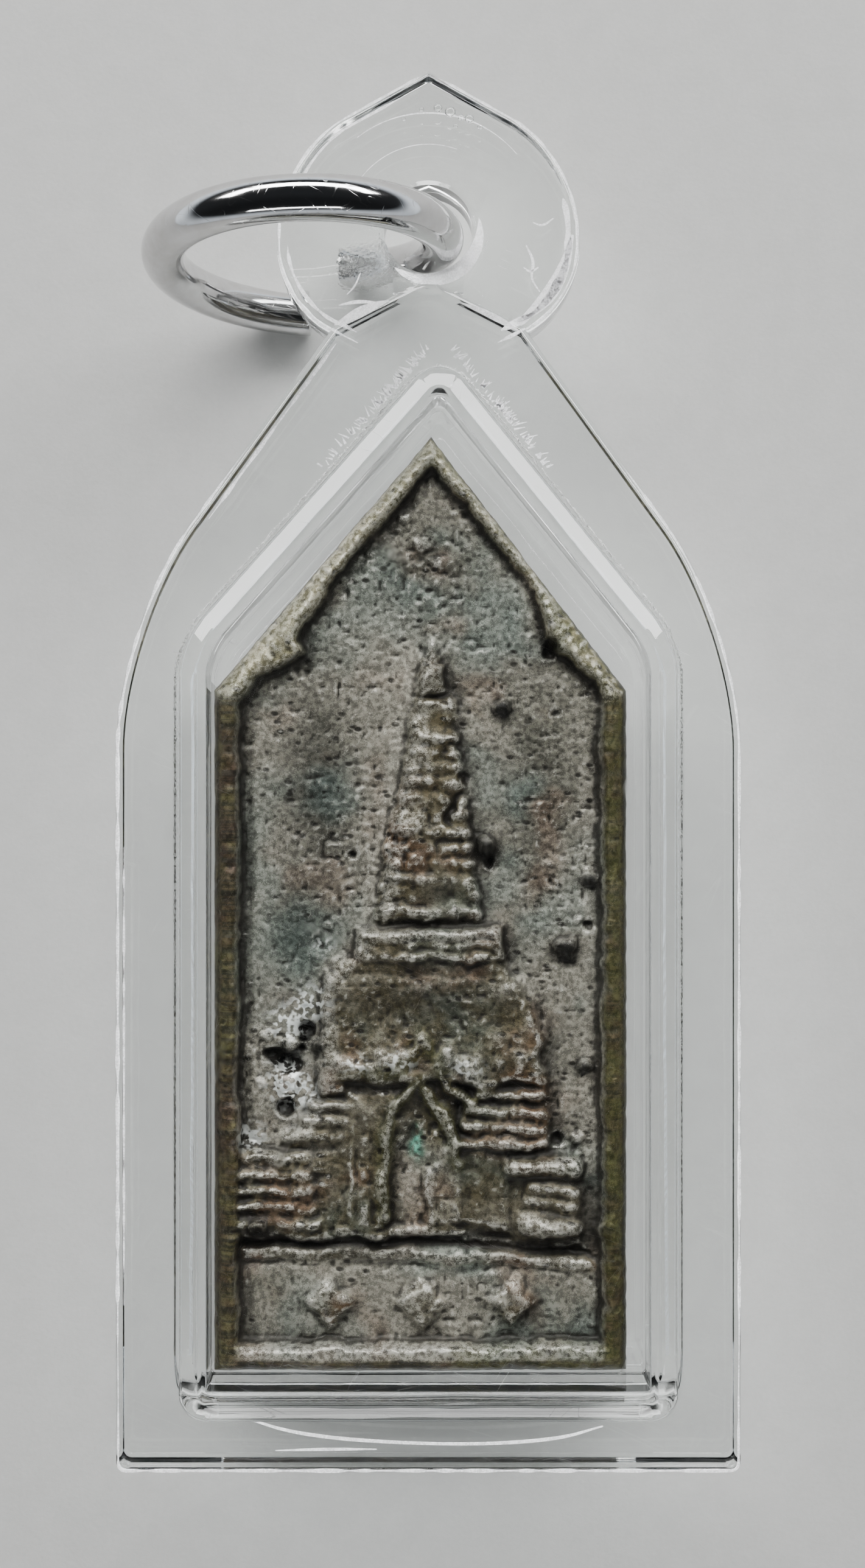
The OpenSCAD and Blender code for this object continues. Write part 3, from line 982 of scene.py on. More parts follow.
    def raise_porch(self) -> None:
        """Raises the porch: its pillars, the gabled roof and the chevron over the niche."""
        front = ((-3.9, 4.7), (3.3, 4.7), (3.2, 7.7), (1.4, 8.0), (1.3, 10.2), (-2.8, 10.2), (-3.0, 7.9), (-3.9, 7.7))
        self.stamp(Form(front, 0.32, soft=0.3))
        self.stamp(Form(((-2.75, 5.0), (-1.35, 5.0), (-1.3, 9.4), (-2.7, 10.4)), 0.46, soft=0.3))
        self.stamp(Form(((0.42, 5.1), (1.62, 5.1), (1.5, 7.5), (1.0, 8.4), (0.35, 7.3)), 0.44, soft=0.36))
        for line in (((-1.83, 5.3), (-1.8, 9.0)), ((-2.35, 5.3), (-2.3, 9.3)), ((-2.72, 10.3), (-1.5, 9.25))):
            self.stamp(Form(line, 0.13, Work.SINK, width=0.24))
        niche = ((-1.22, 5.05), (0.22, 5.05), (0.16, 7.2), (-0.25, 9.15), (-1.05, 7.3))
        self.stamp(Form(niche, 0.16, Work.LEVEL, soft=0.26), None)
        chevrons = (
            (((0.07, 12.1), (0.46, 11.3), (1.12, 10.1), (1.95, 9.55)), 0.74, 0.52),
            (((0.07, 12.1), (-0.42, 11.2), (-1.1, 10.82), (-2.75, 10.62)), 0.74, 0.52),
            (((-0.16, 10.5), (0.4, 9.7), (1.12, 8.5), (1.42, 7.4)), 0.64, 0.48),
            (((-0.16, 10.5), (-0.65, 9.9), (-1.15, 9.1), (-1.32, 7.6), (-1.34, 5.4)), 0.64, 0.48),
        )
        for line, rise, width in chevrons:
            self.stamp(Form(line, rise, width=width))
            near = smooth_step(1.3 - distance_to(self.wx, self.wy, line, False) / 0.4)
            self.masks["moss"] = np.maximum(self.masks["moss"], 0.6 * near)
            self.masks["dark"] = np.maximum(self.masks["dark"], 0.3 * near)
        self.stamp(Form(((0.3, 7.3), (0.36, 5.2)), 0.46, width=0.34))
        for line in (((-2.8, 11.1), (-1.9, 11.05), (-0.6, 11.35)), ((0.95, 11.6), (1.6, 11.0), (2.4, 10.4))):
            self.stamp(Form(line, 0.8, width=0.95), None)
        flecks = smooth_step(0.8 + value_noise(self.x, self.y, 0.16, 25))
        self.masks["green"] = 1.3 * flecks * soft_spot(self.wx, self.wy, (-0.15, 8.2), (0.2, 0.42))
        # Painted highlights on the raised shoulders of the porch roof.
        for place in ((-0.8, 11.2), (-2.4, 11.1), (1.7, 10.95)):
            self.masks["shine"] += 0.35 * soft_spot(self.x, self.y, place, (0.45, 0.25))

    def raise_mouldings(self) -> None:
        """Raises the stacked mouldings on both sides of the porch."""
        self.stamp(Form(((1.3, 7.85), (4.8, 7.85), (4.72, 10.75), (2.2, 10.75), (1.4, 9.2)), 0.3, soft=0.3))
        right = (
            (2.3, 4.45, 10.55, 10.45), (2.15, 4.42, 9.95, 9.85), (1.85, 4.5, 9.35, 9.2), (1.6, 4.5, 8.75, 8.65),
            (1.45, 4.62, 8.12, 8.1),
        )
        self.bars(right, 0.42, 0.64)
        self.stamp(Form(((-4.95, 7.85), (-2.7, 7.85), (-2.8, 10.3), (-3.5, 10.3)), 0.26, soft=0.3))
        left = (
            (-3.55, -2.85, 10.15, 10.2), (-3.95, -2.8, 9.62, 9.6), (-4.35, -2.8, 9.0, 9.05),
            (-4.95, -2.85, 8.38, 8.45),
        )
        self.bars(left, 0.38, 0.56)

    def raise_terrace(self) -> None:
        """Raises the terrace's two ends, with their courses."""
        self.stamp(Form(((-6.98, 4.6), (-4.0, 4.6), (-4.0, 7.8), (-6.85, 7.9)), 0.44, soft=0.34))
        left = [(-6.78, -4.35 + 0.12 * i, 7.6 - 0.6 * i, 7.62 - 0.62 * i) for i in range(5)]
        self.bars(left, 0.42, 0.66)
        self.stamp(Form(((-4.0, 4.8), (-2.75, 4.8), (-2.75, 7.6), (-4.0, 7.6)), 0.24, soft=0.3))
        self.bars([(-4.0, -2.9, 5.3 + 0.62 * i, 5.35 + 0.6 * i) for i in range(4)], 0.3, 0.4)
        self.stamp(Form(((3.2, 4.4), (5.98, 4.2), (5.92, 7.6), (3.15, 7.75)), 0.3, soft=0.34))
        self.bars(((3.35, 5.7, 7.28, 7.2),), 0.78, 0.74)
        self.bars(((4.15, 5.76, 6.42, 6.36), (4.0, 5.7, 5.9, 5.84)), 0.4, 0.6)
        self.bars(((3.9, 5.62, 5.12, 5.0),), 0.86, 0.76)
        for x in (3.35, 3.8):
            self.stamp(Form(((x, 4.9), (x + 0.05, 6.7)), 0.14, Work.SINK, width=0.2))

    def lay_base(self) -> None:
        """Lays the two wavy bars under the stupa, and the grooves beside them."""
        self.stamp(Form(((-6.75, 4.82), (-4.0, 4.72), (-1.0, 4.85), (1.4, 4.8)), 0.38, width=0.5))
        shelf = ((-6.75, 4.12), (-4.2, 4.0), (-1.8, 4.12), (1.0, 3.72), (3.4, 3.86), (6.3, 3.52))
        self.stamp(Form(shelf, 0.22, width=0.55))
        self.stamp(Form(((-6.8, 4.46), (-3.0, 4.4), (0.0, 4.4), (2.4, 4.2), (6.3, 3.88)), 0.14, Work.SINK, width=0.36))
        self.stamp(Form(((1.5, 5.0), (3.2, 4.62), (5.8, 4.12)), 0.18, Work.SINK, width=0.5))

    def raise_panel(self) -> None:
        """Sets the bottom panel with three worn lozenges."""
        self.stamp(Form(((-6.6, 0.85), (6.6, 0.85), (6.6, 3.3), (-6.6, 3.6)), 0.1, Work.LEVEL, soft=0.3), None)
        for x in (-3.36, 0.0, 3.36):
            lozenge = ((x - 0.98, 2.27), (x, 1.32), (x + 0.98, 2.27), (x, 3.2))
            self.stamp(Form(lozenge, 0.46, soft=0.5))
        self.stamp(Form(((-6.9, 0.46), (6.9, 0.46)), 0.74, width=0.62), None)

    def wear_down(self) -> None:
        """Rounds the crisp forms off, more in some places than in others."""
        crumbs = 0.12 * value_noise(self.x, self.y, 0.8, 22) + 0.2 * value_noise(self.x, self.y, 0.3, 23)
        crumbs *= 1.0 - 0.8 * smooth_step((self.y - 11.6) / 0.8) * smooth_step((14.7 - self.y) / 0.5)
        self.z *= 1.0 + crumbs * smooth_step(3.0 * self.masks["stupa"])
        soft = box_blur(box_blur(self.z, 1), 1)
        softer = box_blur(box_blur(self.z, 3), 3)
        share = smooth_step(0.45 + 0.8 * value_noise(self.x, self.y, 1.3, 21))
        self.z = soft + 0.8 * share * (softer - soft)

    def dot_knobs(self) -> None:
        """Adds the casting's own round bumps and its pits, with a painted shadow below each big bump, painted shade
        inside each deep pit, and painted sparkles round the pits.
        """
        knobs = (
            (3.03, 24.25, 0.3, 0.3), (2.45, 19.1, 0.34, 0.5), (6.25, 17.93, 0.26, 0.28), (5.38, 15.35, 0.38, 0.42),
            (6.06, 10.95, 0.3, 0.3), (5.9, 8.3, 0.26, 0.24), (-3.75, 11.8, 0.26, 0.3), (-6.0, 5.1, 0.3, 0.5),
            (0.18, 30.4, 0.34, 0.2), (-0.6, 31.3, 0.25, 0.12), (0.8, 29.6, 0.3, 0.1), (-5.9, 10.4, 0.2, 0.16),
            (2.6, 18.62, 0.24, -0.3), (6.2, 16.2, 0.26, -0.22), (5.75, 16.4, 0.2, 0.18), (-2.47, 18.8, 0.17, -0.2),
            (-5.38, 11.3, 0.33, -0.4), (-5.0, 11.12, 0.36, -0.45), (-4.62, 11.05, 0.3, -0.4),
            (-4.4, 11.6, 0.14, -0.3), (-4.25, 12.45, 0.3, -0.4), (-4.36, 12.0, 0.13, -0.3),
            (-5.0, 9.5, 0.36, -0.45), (-4.8, 11.72, 0.34, 0.24), (-4.95, 10.35, 0.4, 0.2), (-5.7, 12.1, 0.25, 0.16),
            (5.06, 8.2, 0.24, -0.24), (4.75, 26.35, 0.4, -0.4), (-4.3, 25.6, 0.4, -0.14), (5.1, 24.0, 0.18, -0.12),
            (1.75, 13.6, 0.16, -0.12),
        )
        ragged = 0.07 * value_noise(self.x, self.y, 0.28, 24)
        for knob in (Knob(*row) for row in knobs):
            away = np.hypot(self.wx + ragged - knob.x, self.wy - ragged - knob.y) / knob.radius
            self.z += knob.height * np.sqrt(np.clip(1.0 - away * away, 0.0, 1.0))
            # A painted shadow just below each big bump, and painted shade inside each deep pit.
            if abs(knob.height) > 0.25:
                drop = 0.35 * knob.radius if knob.height > 0 else 0.0
                reach = 1.25 * knob.radius
                spot = soft_spot(self.wx + ragged, self.wy - ragged, (knob.x, knob.y - drop), (reach, reach))
                self.masks["dark"] += 1.3 * spot
        # Painted highlights: sparkles round the pits.
        sparkles = (
            (-5.0, 12.55, 0.45, 1.0), (-4.3, 13.15, 0.35, 0.8), (-4.9, 10.3, 0.55, 1.0), (-4.45, 10.0, 0.4, 0.8),
            (-3.95, 13.3, 0.5, 0.45), (-6.2, 8.4, 0.4, 0.4), (-3.6, 15.4, 0.3, 0.25),
        )
        for x, y, reach, share in sparkles:
            self.masks["shine"] += share * soft_spot(self.x, self.y, (x, y), (reach, reach))

    def roughen(self) -> None:
        """Gives the whole face its cast unevenness, its grain and its pits, its darker and paler patches, painted shade
        in the bell's hollow and under the base, and painted highlights on the porch roof's shoulders.
        """
        x, y = self.x, self.y
        bands = value_noise(x, y, 2.2, 31, 3.2)
        self.z += 0.06 * bands + 0.045 * value_noise(x, y, 1.1, 32)
        rough = 0.55 + 0.45 * smooth_step(0.5 + 0.7 * value_noise(x, y, 1.8, 33, 1.8))
        for centre, reach in (((-3.2, 20.0), (1.9, 4.6)), ((4.6, 20.4), (1.3, 3.4)), ((0.4, 29.5), (2.6, 2.6))):
            rough = rough + 0.5 * soft_spot(x, y, centre, reach)
        grains = ((0.028, 0.42, 34), (0.022, 0.21, 35), (0.02, 0.11, 36))
        self.z += rough * sum(depth * value_noise(x, y, size, seed) for depth, size, seed in grains)
        pits = np.clip(value_noise(x, y, 0.3, 37) * 1.6 - 0.75, 0.0, 1.0)
        pits += np.clip(value_noise(x, y, 0.17, 38) * 1.5 - 0.8, 0.0, 1.0)
        self.z -= 0.11 * rough * pits
        # Darker places: painted shade in the bell's upper hollow, under the base's bars and under the right terrace,
        # and darker tone in patches of the field.
        shade_and_dark_patches = (
            ((0.3, 13.3), (3.2, 0.8), 0.5), ((-0.4, 4.3), (6.0, 0.5), 0.6), ((4.2, 4.2), (2.4, 0.5), 0.6),
            ((-3.9, 21.4), (1.5, 4.6), 0.45), ((4.3, 20.8), (1.3, 3.6), 0.4), ((0.4, 29.8), (2.3, 2.0), 0.4),
            ((-4.7, 15.8), (1.2, 1.6), 0.3), ((2.4, 25.9), (1.6, 1.2), 0.25),
        )
        patchy = 0.7 + 0.6 * smooth_step(0.5 + bands)
        for centre, reach, share in shade_and_dark_patches:
            self.masks["dark"] += share * soft_spot(self.wx, self.wy, centre, reach) * patchy
        bare = 1.0 - self.masks["stupa"]
        pale = 0.3 + 0.3 * smooth_step(0.5 + 0.9 * bands) + 0.15 * value_noise(x, y, 0.8, 39)
        for line, width, share in self.pale_bands:
            far = distance_to(self.wx, self.wy, line, False)
            pale = np.maximum(pale, share * smooth_step(1.4 - far / width))
        patches = (
            ((-3.6, 21.2), (1.5, 4.4)), ((4.3, 21.0), (1.2, 3.4)),
            ((0.4, 29.6), (2.2, 1.7)), ((-4.6, 15.6), (1.3, 1.6)),
        )
        for centre, reach in patches:
            pale = pale * (1.0 - 0.85 * soft_spot(self.wx, self.wy, centre, reach))
        # Paler spots: wear in the niche and on its right pillar, and painted highlights on the porch roof's shoulders.
        rubbed_and_lit_spots = (
            ((-0.4, 6.6), (0.75, 2.1), 0.85), ((-1.7, 11.0), (1.5, 0.5), 0.5), ((1.7, 10.9), (1.0, 0.5), 0.5),
            ((1.0, 6.4), (0.6, 1.4), 0.35),
        )
        rubbed_and_lit = sum(share * soft_spot(self.wx, self.wy, centre, reach) for centre, reach, share in rubbed_and_lit_spots)
        self.masks["pale_and_lit"] = np.clip(pale * bare + rubbed_and_lit, 0.0, 1.0)

    def sampled(self, values: np.ndarray, x: np.ndarray, y: np.ndarray) -> np.ndarray:
        """Reads the grid between its points.

        Args:
            values: the grid's values.
            x: the places across.
            y: the places along.

        Returns:
            The values there.
        """
        rows, columns = values.shape
        across = np.clip((x - self.x[0, 0]) / self.pitch, 0, columns - 1.001)
        along = np.clip((y - self.y[0, 0]) / self.pitch, 0, rows - 1.001)
        column, row = across.astype(int), along.astype(int)
        u, v = across - column, along - row
        low = values[row, column] * (1 - u) + values[row, column + 1] * u
        high = values[row + 1, column] * (1 - u) + values[row + 1, column + 1] * u
        return low * (1 - v) + high * v


@dataclass(frozen=True)
class CastBronze:
    """Old cast metal: grey-brown, dull, with painted shade and dirt in its recesses, and bright grains and raised tops
    that are painted highlights.
    """

    name: str
    field_colour: Colour = (0.052, 0.05, 0.039, 1.0)
    pale_colour: Colour = (0.185, 0.172, 0.143, 1.0)
    brown_colour: Colour = (0.036, 0.029, 0.0145, 1.0)
    rust_colour: Colour = (0.056, 0.026, 0.012, 1.0)
    green_colour: Colour = (0.09, 0.27, 0.2, 1.0)
    # Painted shade with dirt, for the recesses, crevices and pits.
    shade_and_dirt_colour: Colour = (0.006, 0.005, 0.004, 1.0)
    rim_colour: Colour = (0.17, 0.15, 0.085, 1.0)
    moss_colour: Colour = (0.035, 0.036, 0.01, 1.0)
    # Painted highlight colour for raised tops and grains.
    glint_colour: Colour = (0.42, 0.41, 0.37, 1.0)
    # Painted highlight colour for the sparkles.
    bright_colour: Colour = (0.86, 0.9, 0.88, 1.0)
    side_colour: Colour = (0.016, 0.008, 0.0035, 1.0)
    cool_colour: Colour = (0.038, 0.066, 0.062, 1.0)

    def material(self, shared: SharedEffects) -> bpy.types.Material:
        """Builds the material.

        Args:
            shared: the node groups that it uses.

        Returns:
            The material.
        """
        made, nodes, shader, _ = plain_material(self.name)
        where = nodes.add("ShaderNodeTexCoord").outputs["Object"]
        cloud = group_node(nodes, shared.mottle, Scale=330.0, Spread=0.16).outputs["Mask"]
        speck = group_node(nodes, shared.mottle, Scale=5200.0, Spread=0.11).outputs["Mask"]
        grain = group_node(nodes, shared.grain, Scale=6600.0, Pits=1.0)
        keys = ("stupa", "gable", "rim", "shine", "recess", "fine", "side", "run", "pale_and_lit", "moss", "dark", "green")
        masks = {key: nodes.attribute(key) for key in keys}
        cool = nodes.ramp(nodes.noise(where, 260.0, 2.0), 0.46, 0.62, 0.0, 0.6)
        warm = nodes.ramp(nodes.noise(where, 410.0, 2.0), 0.5, 0.66, 0.0, 0.55)
        colour = nodes.blend(nodes.maths("MULTIPLY", cloud, 0.3), self.field_colour, self.pale_colour)
        colour = nodes.blend(warm, colour, self.rust_colour)
        colour = nodes.blend(cool, colour, self.cool_colour)
        colour = nodes.blend(nodes.maths("MULTIPLY", masks["pale_and_lit"], 0.85), colour, self.pale_colour)
        browned = nodes.maths("MULTIPLY", masks["stupa"], nodes.maths("MULTIPLY_ADD", masks["pale_and_lit"], -1.0, 1.0))
        brown = nodes.maths("MULTIPLY", browned, nodes.maths("MULTIPLY_ADD", cloud, -0.4, 0.95))
        colour = nodes.blend(brown, colour, nodes.blend(warm, self.brown_colour, self.rust_colour))
        crust = nodes.blend(nodes.maths("MULTIPLY", cloud, 0.75), self.rim_colour, self.moss_colour)
        colour = nodes.blend(nodes.maths("MULTIPLY", masks["gable"], 0.85), colour, crust)
        stripes = nodes.add("ShaderNodeTexNoise")
        stripes.noise_dimensions = "1D"
        along = nodes.maths("MULTIPLY", nodes.add("ShaderNodeSeparateXYZ", Vector=where).outputs["Y"], 1 / MM)
        face = nodes.maths("MULTIPLY", along, nodes.maths("SUBTRACT", 1.0, masks["side"]))
        place = nodes.maths("ADD", masks["run"], face)
        for key, value in (("W", place), ("Scale", 3.4), ("Detail", 3.0), ("Roughness", 0.65)):
            nodes.set(stripes, key, value)
        banded = nodes.ramp(stripes.outputs["Fac"], 0.4, 0.6, 0.45, 1.6)
        tarnish = nodes.blend(nodes.maths("MULTIPLY", cloud, 0.6), self.side_colour, self.moss_colour)
        side = nodes.blend(1.0, tarnish, banded, "MULTIPLY")
        edge = nodes.maths("MAXIMUM", masks["side"], nodes.maths("MULTIPLY", masks["rim"], 0.92))
        colour = nodes.blend(edge, colour, side)
        colour = nodes.blend(masks["moss"], colour, self.moss_colour)
        colour = nodes.blend(masks["green"], colour, self.green_colour)
        salted = nodes.ramp(speck, 0.0, 1.0, 0.62, 1.36)
        # The dark mask darkens the colour: painted shadows below bumps, painted shade in pits and hollows, and darker
        # tone elsewhere.
        shade = nodes.maths("MULTIPLY", salted, nodes.maths("MULTIPLY_ADD", masks["dark"], -0.93, 1.0))
        colour = nodes.blend(1.0, colour, shade, "MULTIPLY")
        # Painted shade with dirt: the recesses darken, less where the face is pale.
        unworn = nodes.maths("MULTIPLY_ADD", masks["pale_and_lit"], -0.85, 1.0)
        deep = nodes.maths("MULTIPLY", nodes.ramp(masks["recess"], 0.55, 0.95, 0.0, 0.85), unworn)
        colour = nodes.blend(deep, colour, self.shade_and_dirt_colour)
        # Painted shade with dirt in the fine crevices and the grain's pits.
        tiny = nodes.ramp(masks["fine"], 0.55, 0.95, 0.0, 0.85)
        pits = nodes.maths("MULTIPLY", grain.outputs["Pit"], nodes.maths("MULTIPLY_ADD", masks["rim"], -0.7, 0.9))
        pitted = nodes.maths("MAXIMUM", tiny, pits)
        colour = nodes.blend(pitted, colour, self.shade_and_dirt_colour)
        # Painted highlights: raised tops and grains take the glint colour, but not on the rims or in the dark places.
        broad, thin = nodes.ramp(masks["recess"], 0.42, 0.1, 0.0, 0.3), nodes.ramp(masks["fine"], 0.4, 0.1, 0.0, 0.55)
        high = nodes.maths("MAXIMUM", broad, thin)
        dull = nodes.maths("MAXIMUM", nodes.maths("MULTIPLY", masks["rim"], 0.97), masks["dark"], clamp=True)
        high = nodes.maths("MULTIPLY", high, nodes.maths("SUBTRACT", 1.0, dull))
        # Painted highlights: the shine spots sparkle almost white.
        bright = nodes.maths("MULTIPLY", masks["shine"], nodes.ramp(nodes.noise(where, 4200.0, 1.0), 0.47, 0.6))
        glint = nodes.maths("MAXIMUM", nodes.maths("MULTIPLY", high, speck), bright, clamp=True)
        colour = nodes.blend(glint, colour, self.glint_colour)
        colour = nodes.blend(bright, colour, self.bright_colour)
        nodes.set(shader, "Base Color", colour)
        shader.inputs["Specular IOR Level"].default_value = 0.15
        nodes.set(shader, "Metallic", nodes.maths("MULTIPLY_ADD", glint, 0.5, 0.4))
        nodes.set(shader, "Roughness", nodes.maths("MULTIPLY_ADD", glint, -0.14, 0.44))
        bump = nodes.add("ShaderNodeBump", Strength=1.0, Distance=0.000022, Height=grain.outputs["Height"])
        nodes.set(shader, "Normal", bump.outputs["Normal"])
        return made


@dataclass
class Plaque:
    """The cast plaque, which lies loose in the case's pocket."""

    width: float = 15.4
    height: float = 34.8
    toe: float = 0.4
    thickness: float = 3.8
    gable_h: float = 9.5
    gable_shift: float = 0.4
    draft: float = 0.3
    field_depth: float = 0.8
    pitch: float = 0.079
    notch_depth: float = 0.3
    side_top: float = 0.93
    side_fade: float = 9.0
    side_steps: tuple[Point, ...] = (
        (0.3, 0.97), (0.62, 0.91), (0.88, 0.82), (0.98, 0.7), (1.0, 0.45), (1.0, 0.2), (0.97, 0.06), (0.8, 0.0),
    )

    def build(self) -> bpy.types.Object:
        """Builds the plaque as one closed mesh, with its wear kept as attributes.

        Returns:
            The plaque.
        """
        half = self.width / 2
        low, tip = -self.toe, self.height - self.toe
        foot = tip - self.gable_h
        corners = ((-half, low), (half, low), (half, foot), (self.gable_shift, tip), (-half, foot))
        front = Outline(tuple(Corner(*place) for place in corners)).grown(-self.draft).corners
        relief = StupaRelief(tuple((c.x, c.y) for c in front), foot)
        bm = bmesh.new()
        low, high = Vector((front[0].x, front[0].y, 0)), Vector((front[1].x, front[3].y, 0))
        counts = [round((b - a) / self.pitch) for a, b in zip(low.xy, high.xy)]
        bmesh.ops.create_grid(bm, x_segments=counts[0], y_segments=counts[1], size=0.5)
        bmesh.ops.scale(bm, vec=(high.x - low.x, high.y - low.y, 1), verts=bm.verts)
        bmesh.ops.translate(bm, vec=(low + high) / 2, verts=bm.verts)
        for a, b in ((front[2], front[3]), (front[3], front[4])):
            outward = (b.y - a.y, a.x - b.x, 0)
            bmesh.ops.bisect_plane(
                bm, geom=[*bm.verts, *bm.edges, *bm.faces], dist=self.pitch / 4, plane_co=(a.x, a.y, 0),
                plane_no=outward, clear_outer=True,
            )
        bmesh.ops.remove_doubles(bm, verts=bm.verts, dist=self.pitch / 4)
        self.raise_face(bm, relief)
        self.close_sides(bm, front)
        bmesh.ops.recalc_face_normals(bm, faces=bm.faces)
        places = np.array([vert.co[:] for vert in bm.verts])
        bmesh.ops.translate(bm, verts=bm.verts, vec=self.place())
        made = new_object(bm, "cast_plaque", 60.0)
        for name, values in relief.masks.items():
            layer = made.data.attributes.new(name, "FLOAT", "POINT")
            layer.data.foreach_set("value", np.clip(relief.sampled(values, places[:, 0], places[:, 1]), 0.0, 1.0))
        return made

    def place(self) -> Vector:
        """Where the plaque's bottom centre lies in the model."""
        low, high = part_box("plaque")
        return Vector(((low.x + high.x) / 2, low.y, low.z)) / MM + Vector((0, self.toe, 0))

    def raise_face(self, bm: bmesh.types.BMesh, relief: StupaRelief) -> None:
        """Moves the flat grid's points to the relief's heights.

        Args:
            bm: the grid.
            relief: the heights.
        """
        places = np.array([vert.co[:] for vert in bm.verts])
        heights = relief.sampled(relief.z, places[:, 0], places[:, 1]) + self.thickness - self.field_depth
        for vert, z in zip(bm.verts, np.minimum(heights, self.thickness)):
            vert.co.z = z

    def close_sides(self, bm: bmesh.types.BMesh, front: tuple[Corner, ...]) -> None:
        """Draws the face's border down the drafted sides, and closes the back.

        Args:
            bm: the raised face.
            front: the face's corners.
        """
        run = bm.verts.layers.float.new("run")
        side = bm.verts.layers.float.new("side")
        border = [edge for edge in bm.edges if edge.is_boundary]
        middle = Vector((sum(c.x for c in front) / len(front), sum(c.y for c in front) / len(front)))
        ways: dict[bmesh.types.BMVert, Vector] = {}
        for vert in {v for edge in border for v in edge.verts}:
            ways[vert] = self.outward(vert.co.xy, front, middle)
            vert[run] = vert.co.y * ways[vert].x - vert.co.x * ways[vert].y
        starts = {vert: vert.co.copy() for vert in ways}
        for out, level in self.side_steps:
            grown = bmesh.ops.extrude_edge_only(bm, edges=border)["geom"]
            border = [item for item in grown if isinstance(item, bmesh.types.BMEdge) and item.is_boundary]
            fresh: dict[bmesh.types.BMVert, Vector] = {}
            begun: dict[bmesh.types.BMVert, Vector] = {}
            for vert in (item for item in grown if isinstance(item, bmesh.types.BMVert)):
                before = next(edge.other_vert(vert) for edge in vert.link_edges if edge.other_vert(vert) in ways)
                fresh[vert], begun[vert] = ways[before], starts[before]
                notches = 1.6 * abs(noise.noise((1.9 * before[run], 1.5 * level, 3.7)))
                notches += 0.5 * noise.noise((0.6 * before[run], level, 8.1))
                ripple = min(1.0, abs(notches)) * (1 - abs(2 * level - 1))
                vert.co.xy = begun[vert].xy + fresh[vert] * self.draft * (out - self.notch_depth * ripple)
                vert.co.z = begun[vert].z * level
                vert[run], vert[side] = before[run], min(1.0, max(0.0, (self.side_top - level) * self.side_fade))
            ways, starts = fresh, begun
        bmesh.ops.holes_fill(bm, edges=border, sides=0)

    @staticmethod
    def outward(place: Vector, corners: tuple[Corner, ...], middle: Vector) -> Vector:
        """The way out of the nearest side, shared between the two sides at a corner.

        Args:
            place: a point on the border.
            corners: the border's corners.
            middle: a point inside.

        Returns:
            The way out, which moves the border evenly.
        """
        near: list[Vector] = []
        for a, b in zip(corners, (*corners[1:], corners[0])):
            along = Vector((b.x - a.x, b.y - a.y)).normalized()
            normal = Vector((along.y, -along.x))
            if abs((place - Vector((a.x, a.y))).dot(normal)) < 0.02:
                near.append(normal)
        if not near:
            return (place - middle).normalized()
        if len(near) == 1:
            return near[0]
        return (near[0] + near[1]) / (1 + near[0].dot(near[1]))

    def dress(self, shared: SharedEffects) -> bpy.types.Object:
        """Builds the plaque and gives it its finish.

        Args:
            shared: the node groups that the finishes share.

        Returns:
            The finished plaque.
        """
        made = self.build()
        made.data.materials.append(CastBronze("cast_bronze").material(shared))
        return placed(made, "plaque")


@dataclass(frozen=True)
class PaleScuffAndHighlight:
    """Dried glue, scuffs and frosting on the clear plastic, and painted highlights along its rounded edges: pale, dull
    and patchy.
    """

    name: str
    colour: Colour = (0.97, 0.97, 0.98, 1.0)
    cover: float = 0.95

    def material(self, shared: SharedEffects) -> bpy.types.Material:
        """Builds the material.

        Args:
            shared: the node groups that it uses.

        Returns:
            The material.
        """
        made, nodes, shader, _ = plain_material(self.name)
        patchy = group_node(nodes, shared.mottle, Scale=2600.0, Spread=0.16).outputs["Mask"]
        nodes.set(shader, "Alpha", nodes.maths("MULTIPLY_ADD", patchy, 0.55 * self.cover, 0.45 * self.cover))
        nodes.set(shader, "Roughness", nodes.maths("MULTIPLY_ADD", patchy, 0.3, 0.35))
        shader.inputs["Base Color"].default_value = self.colour
        return made


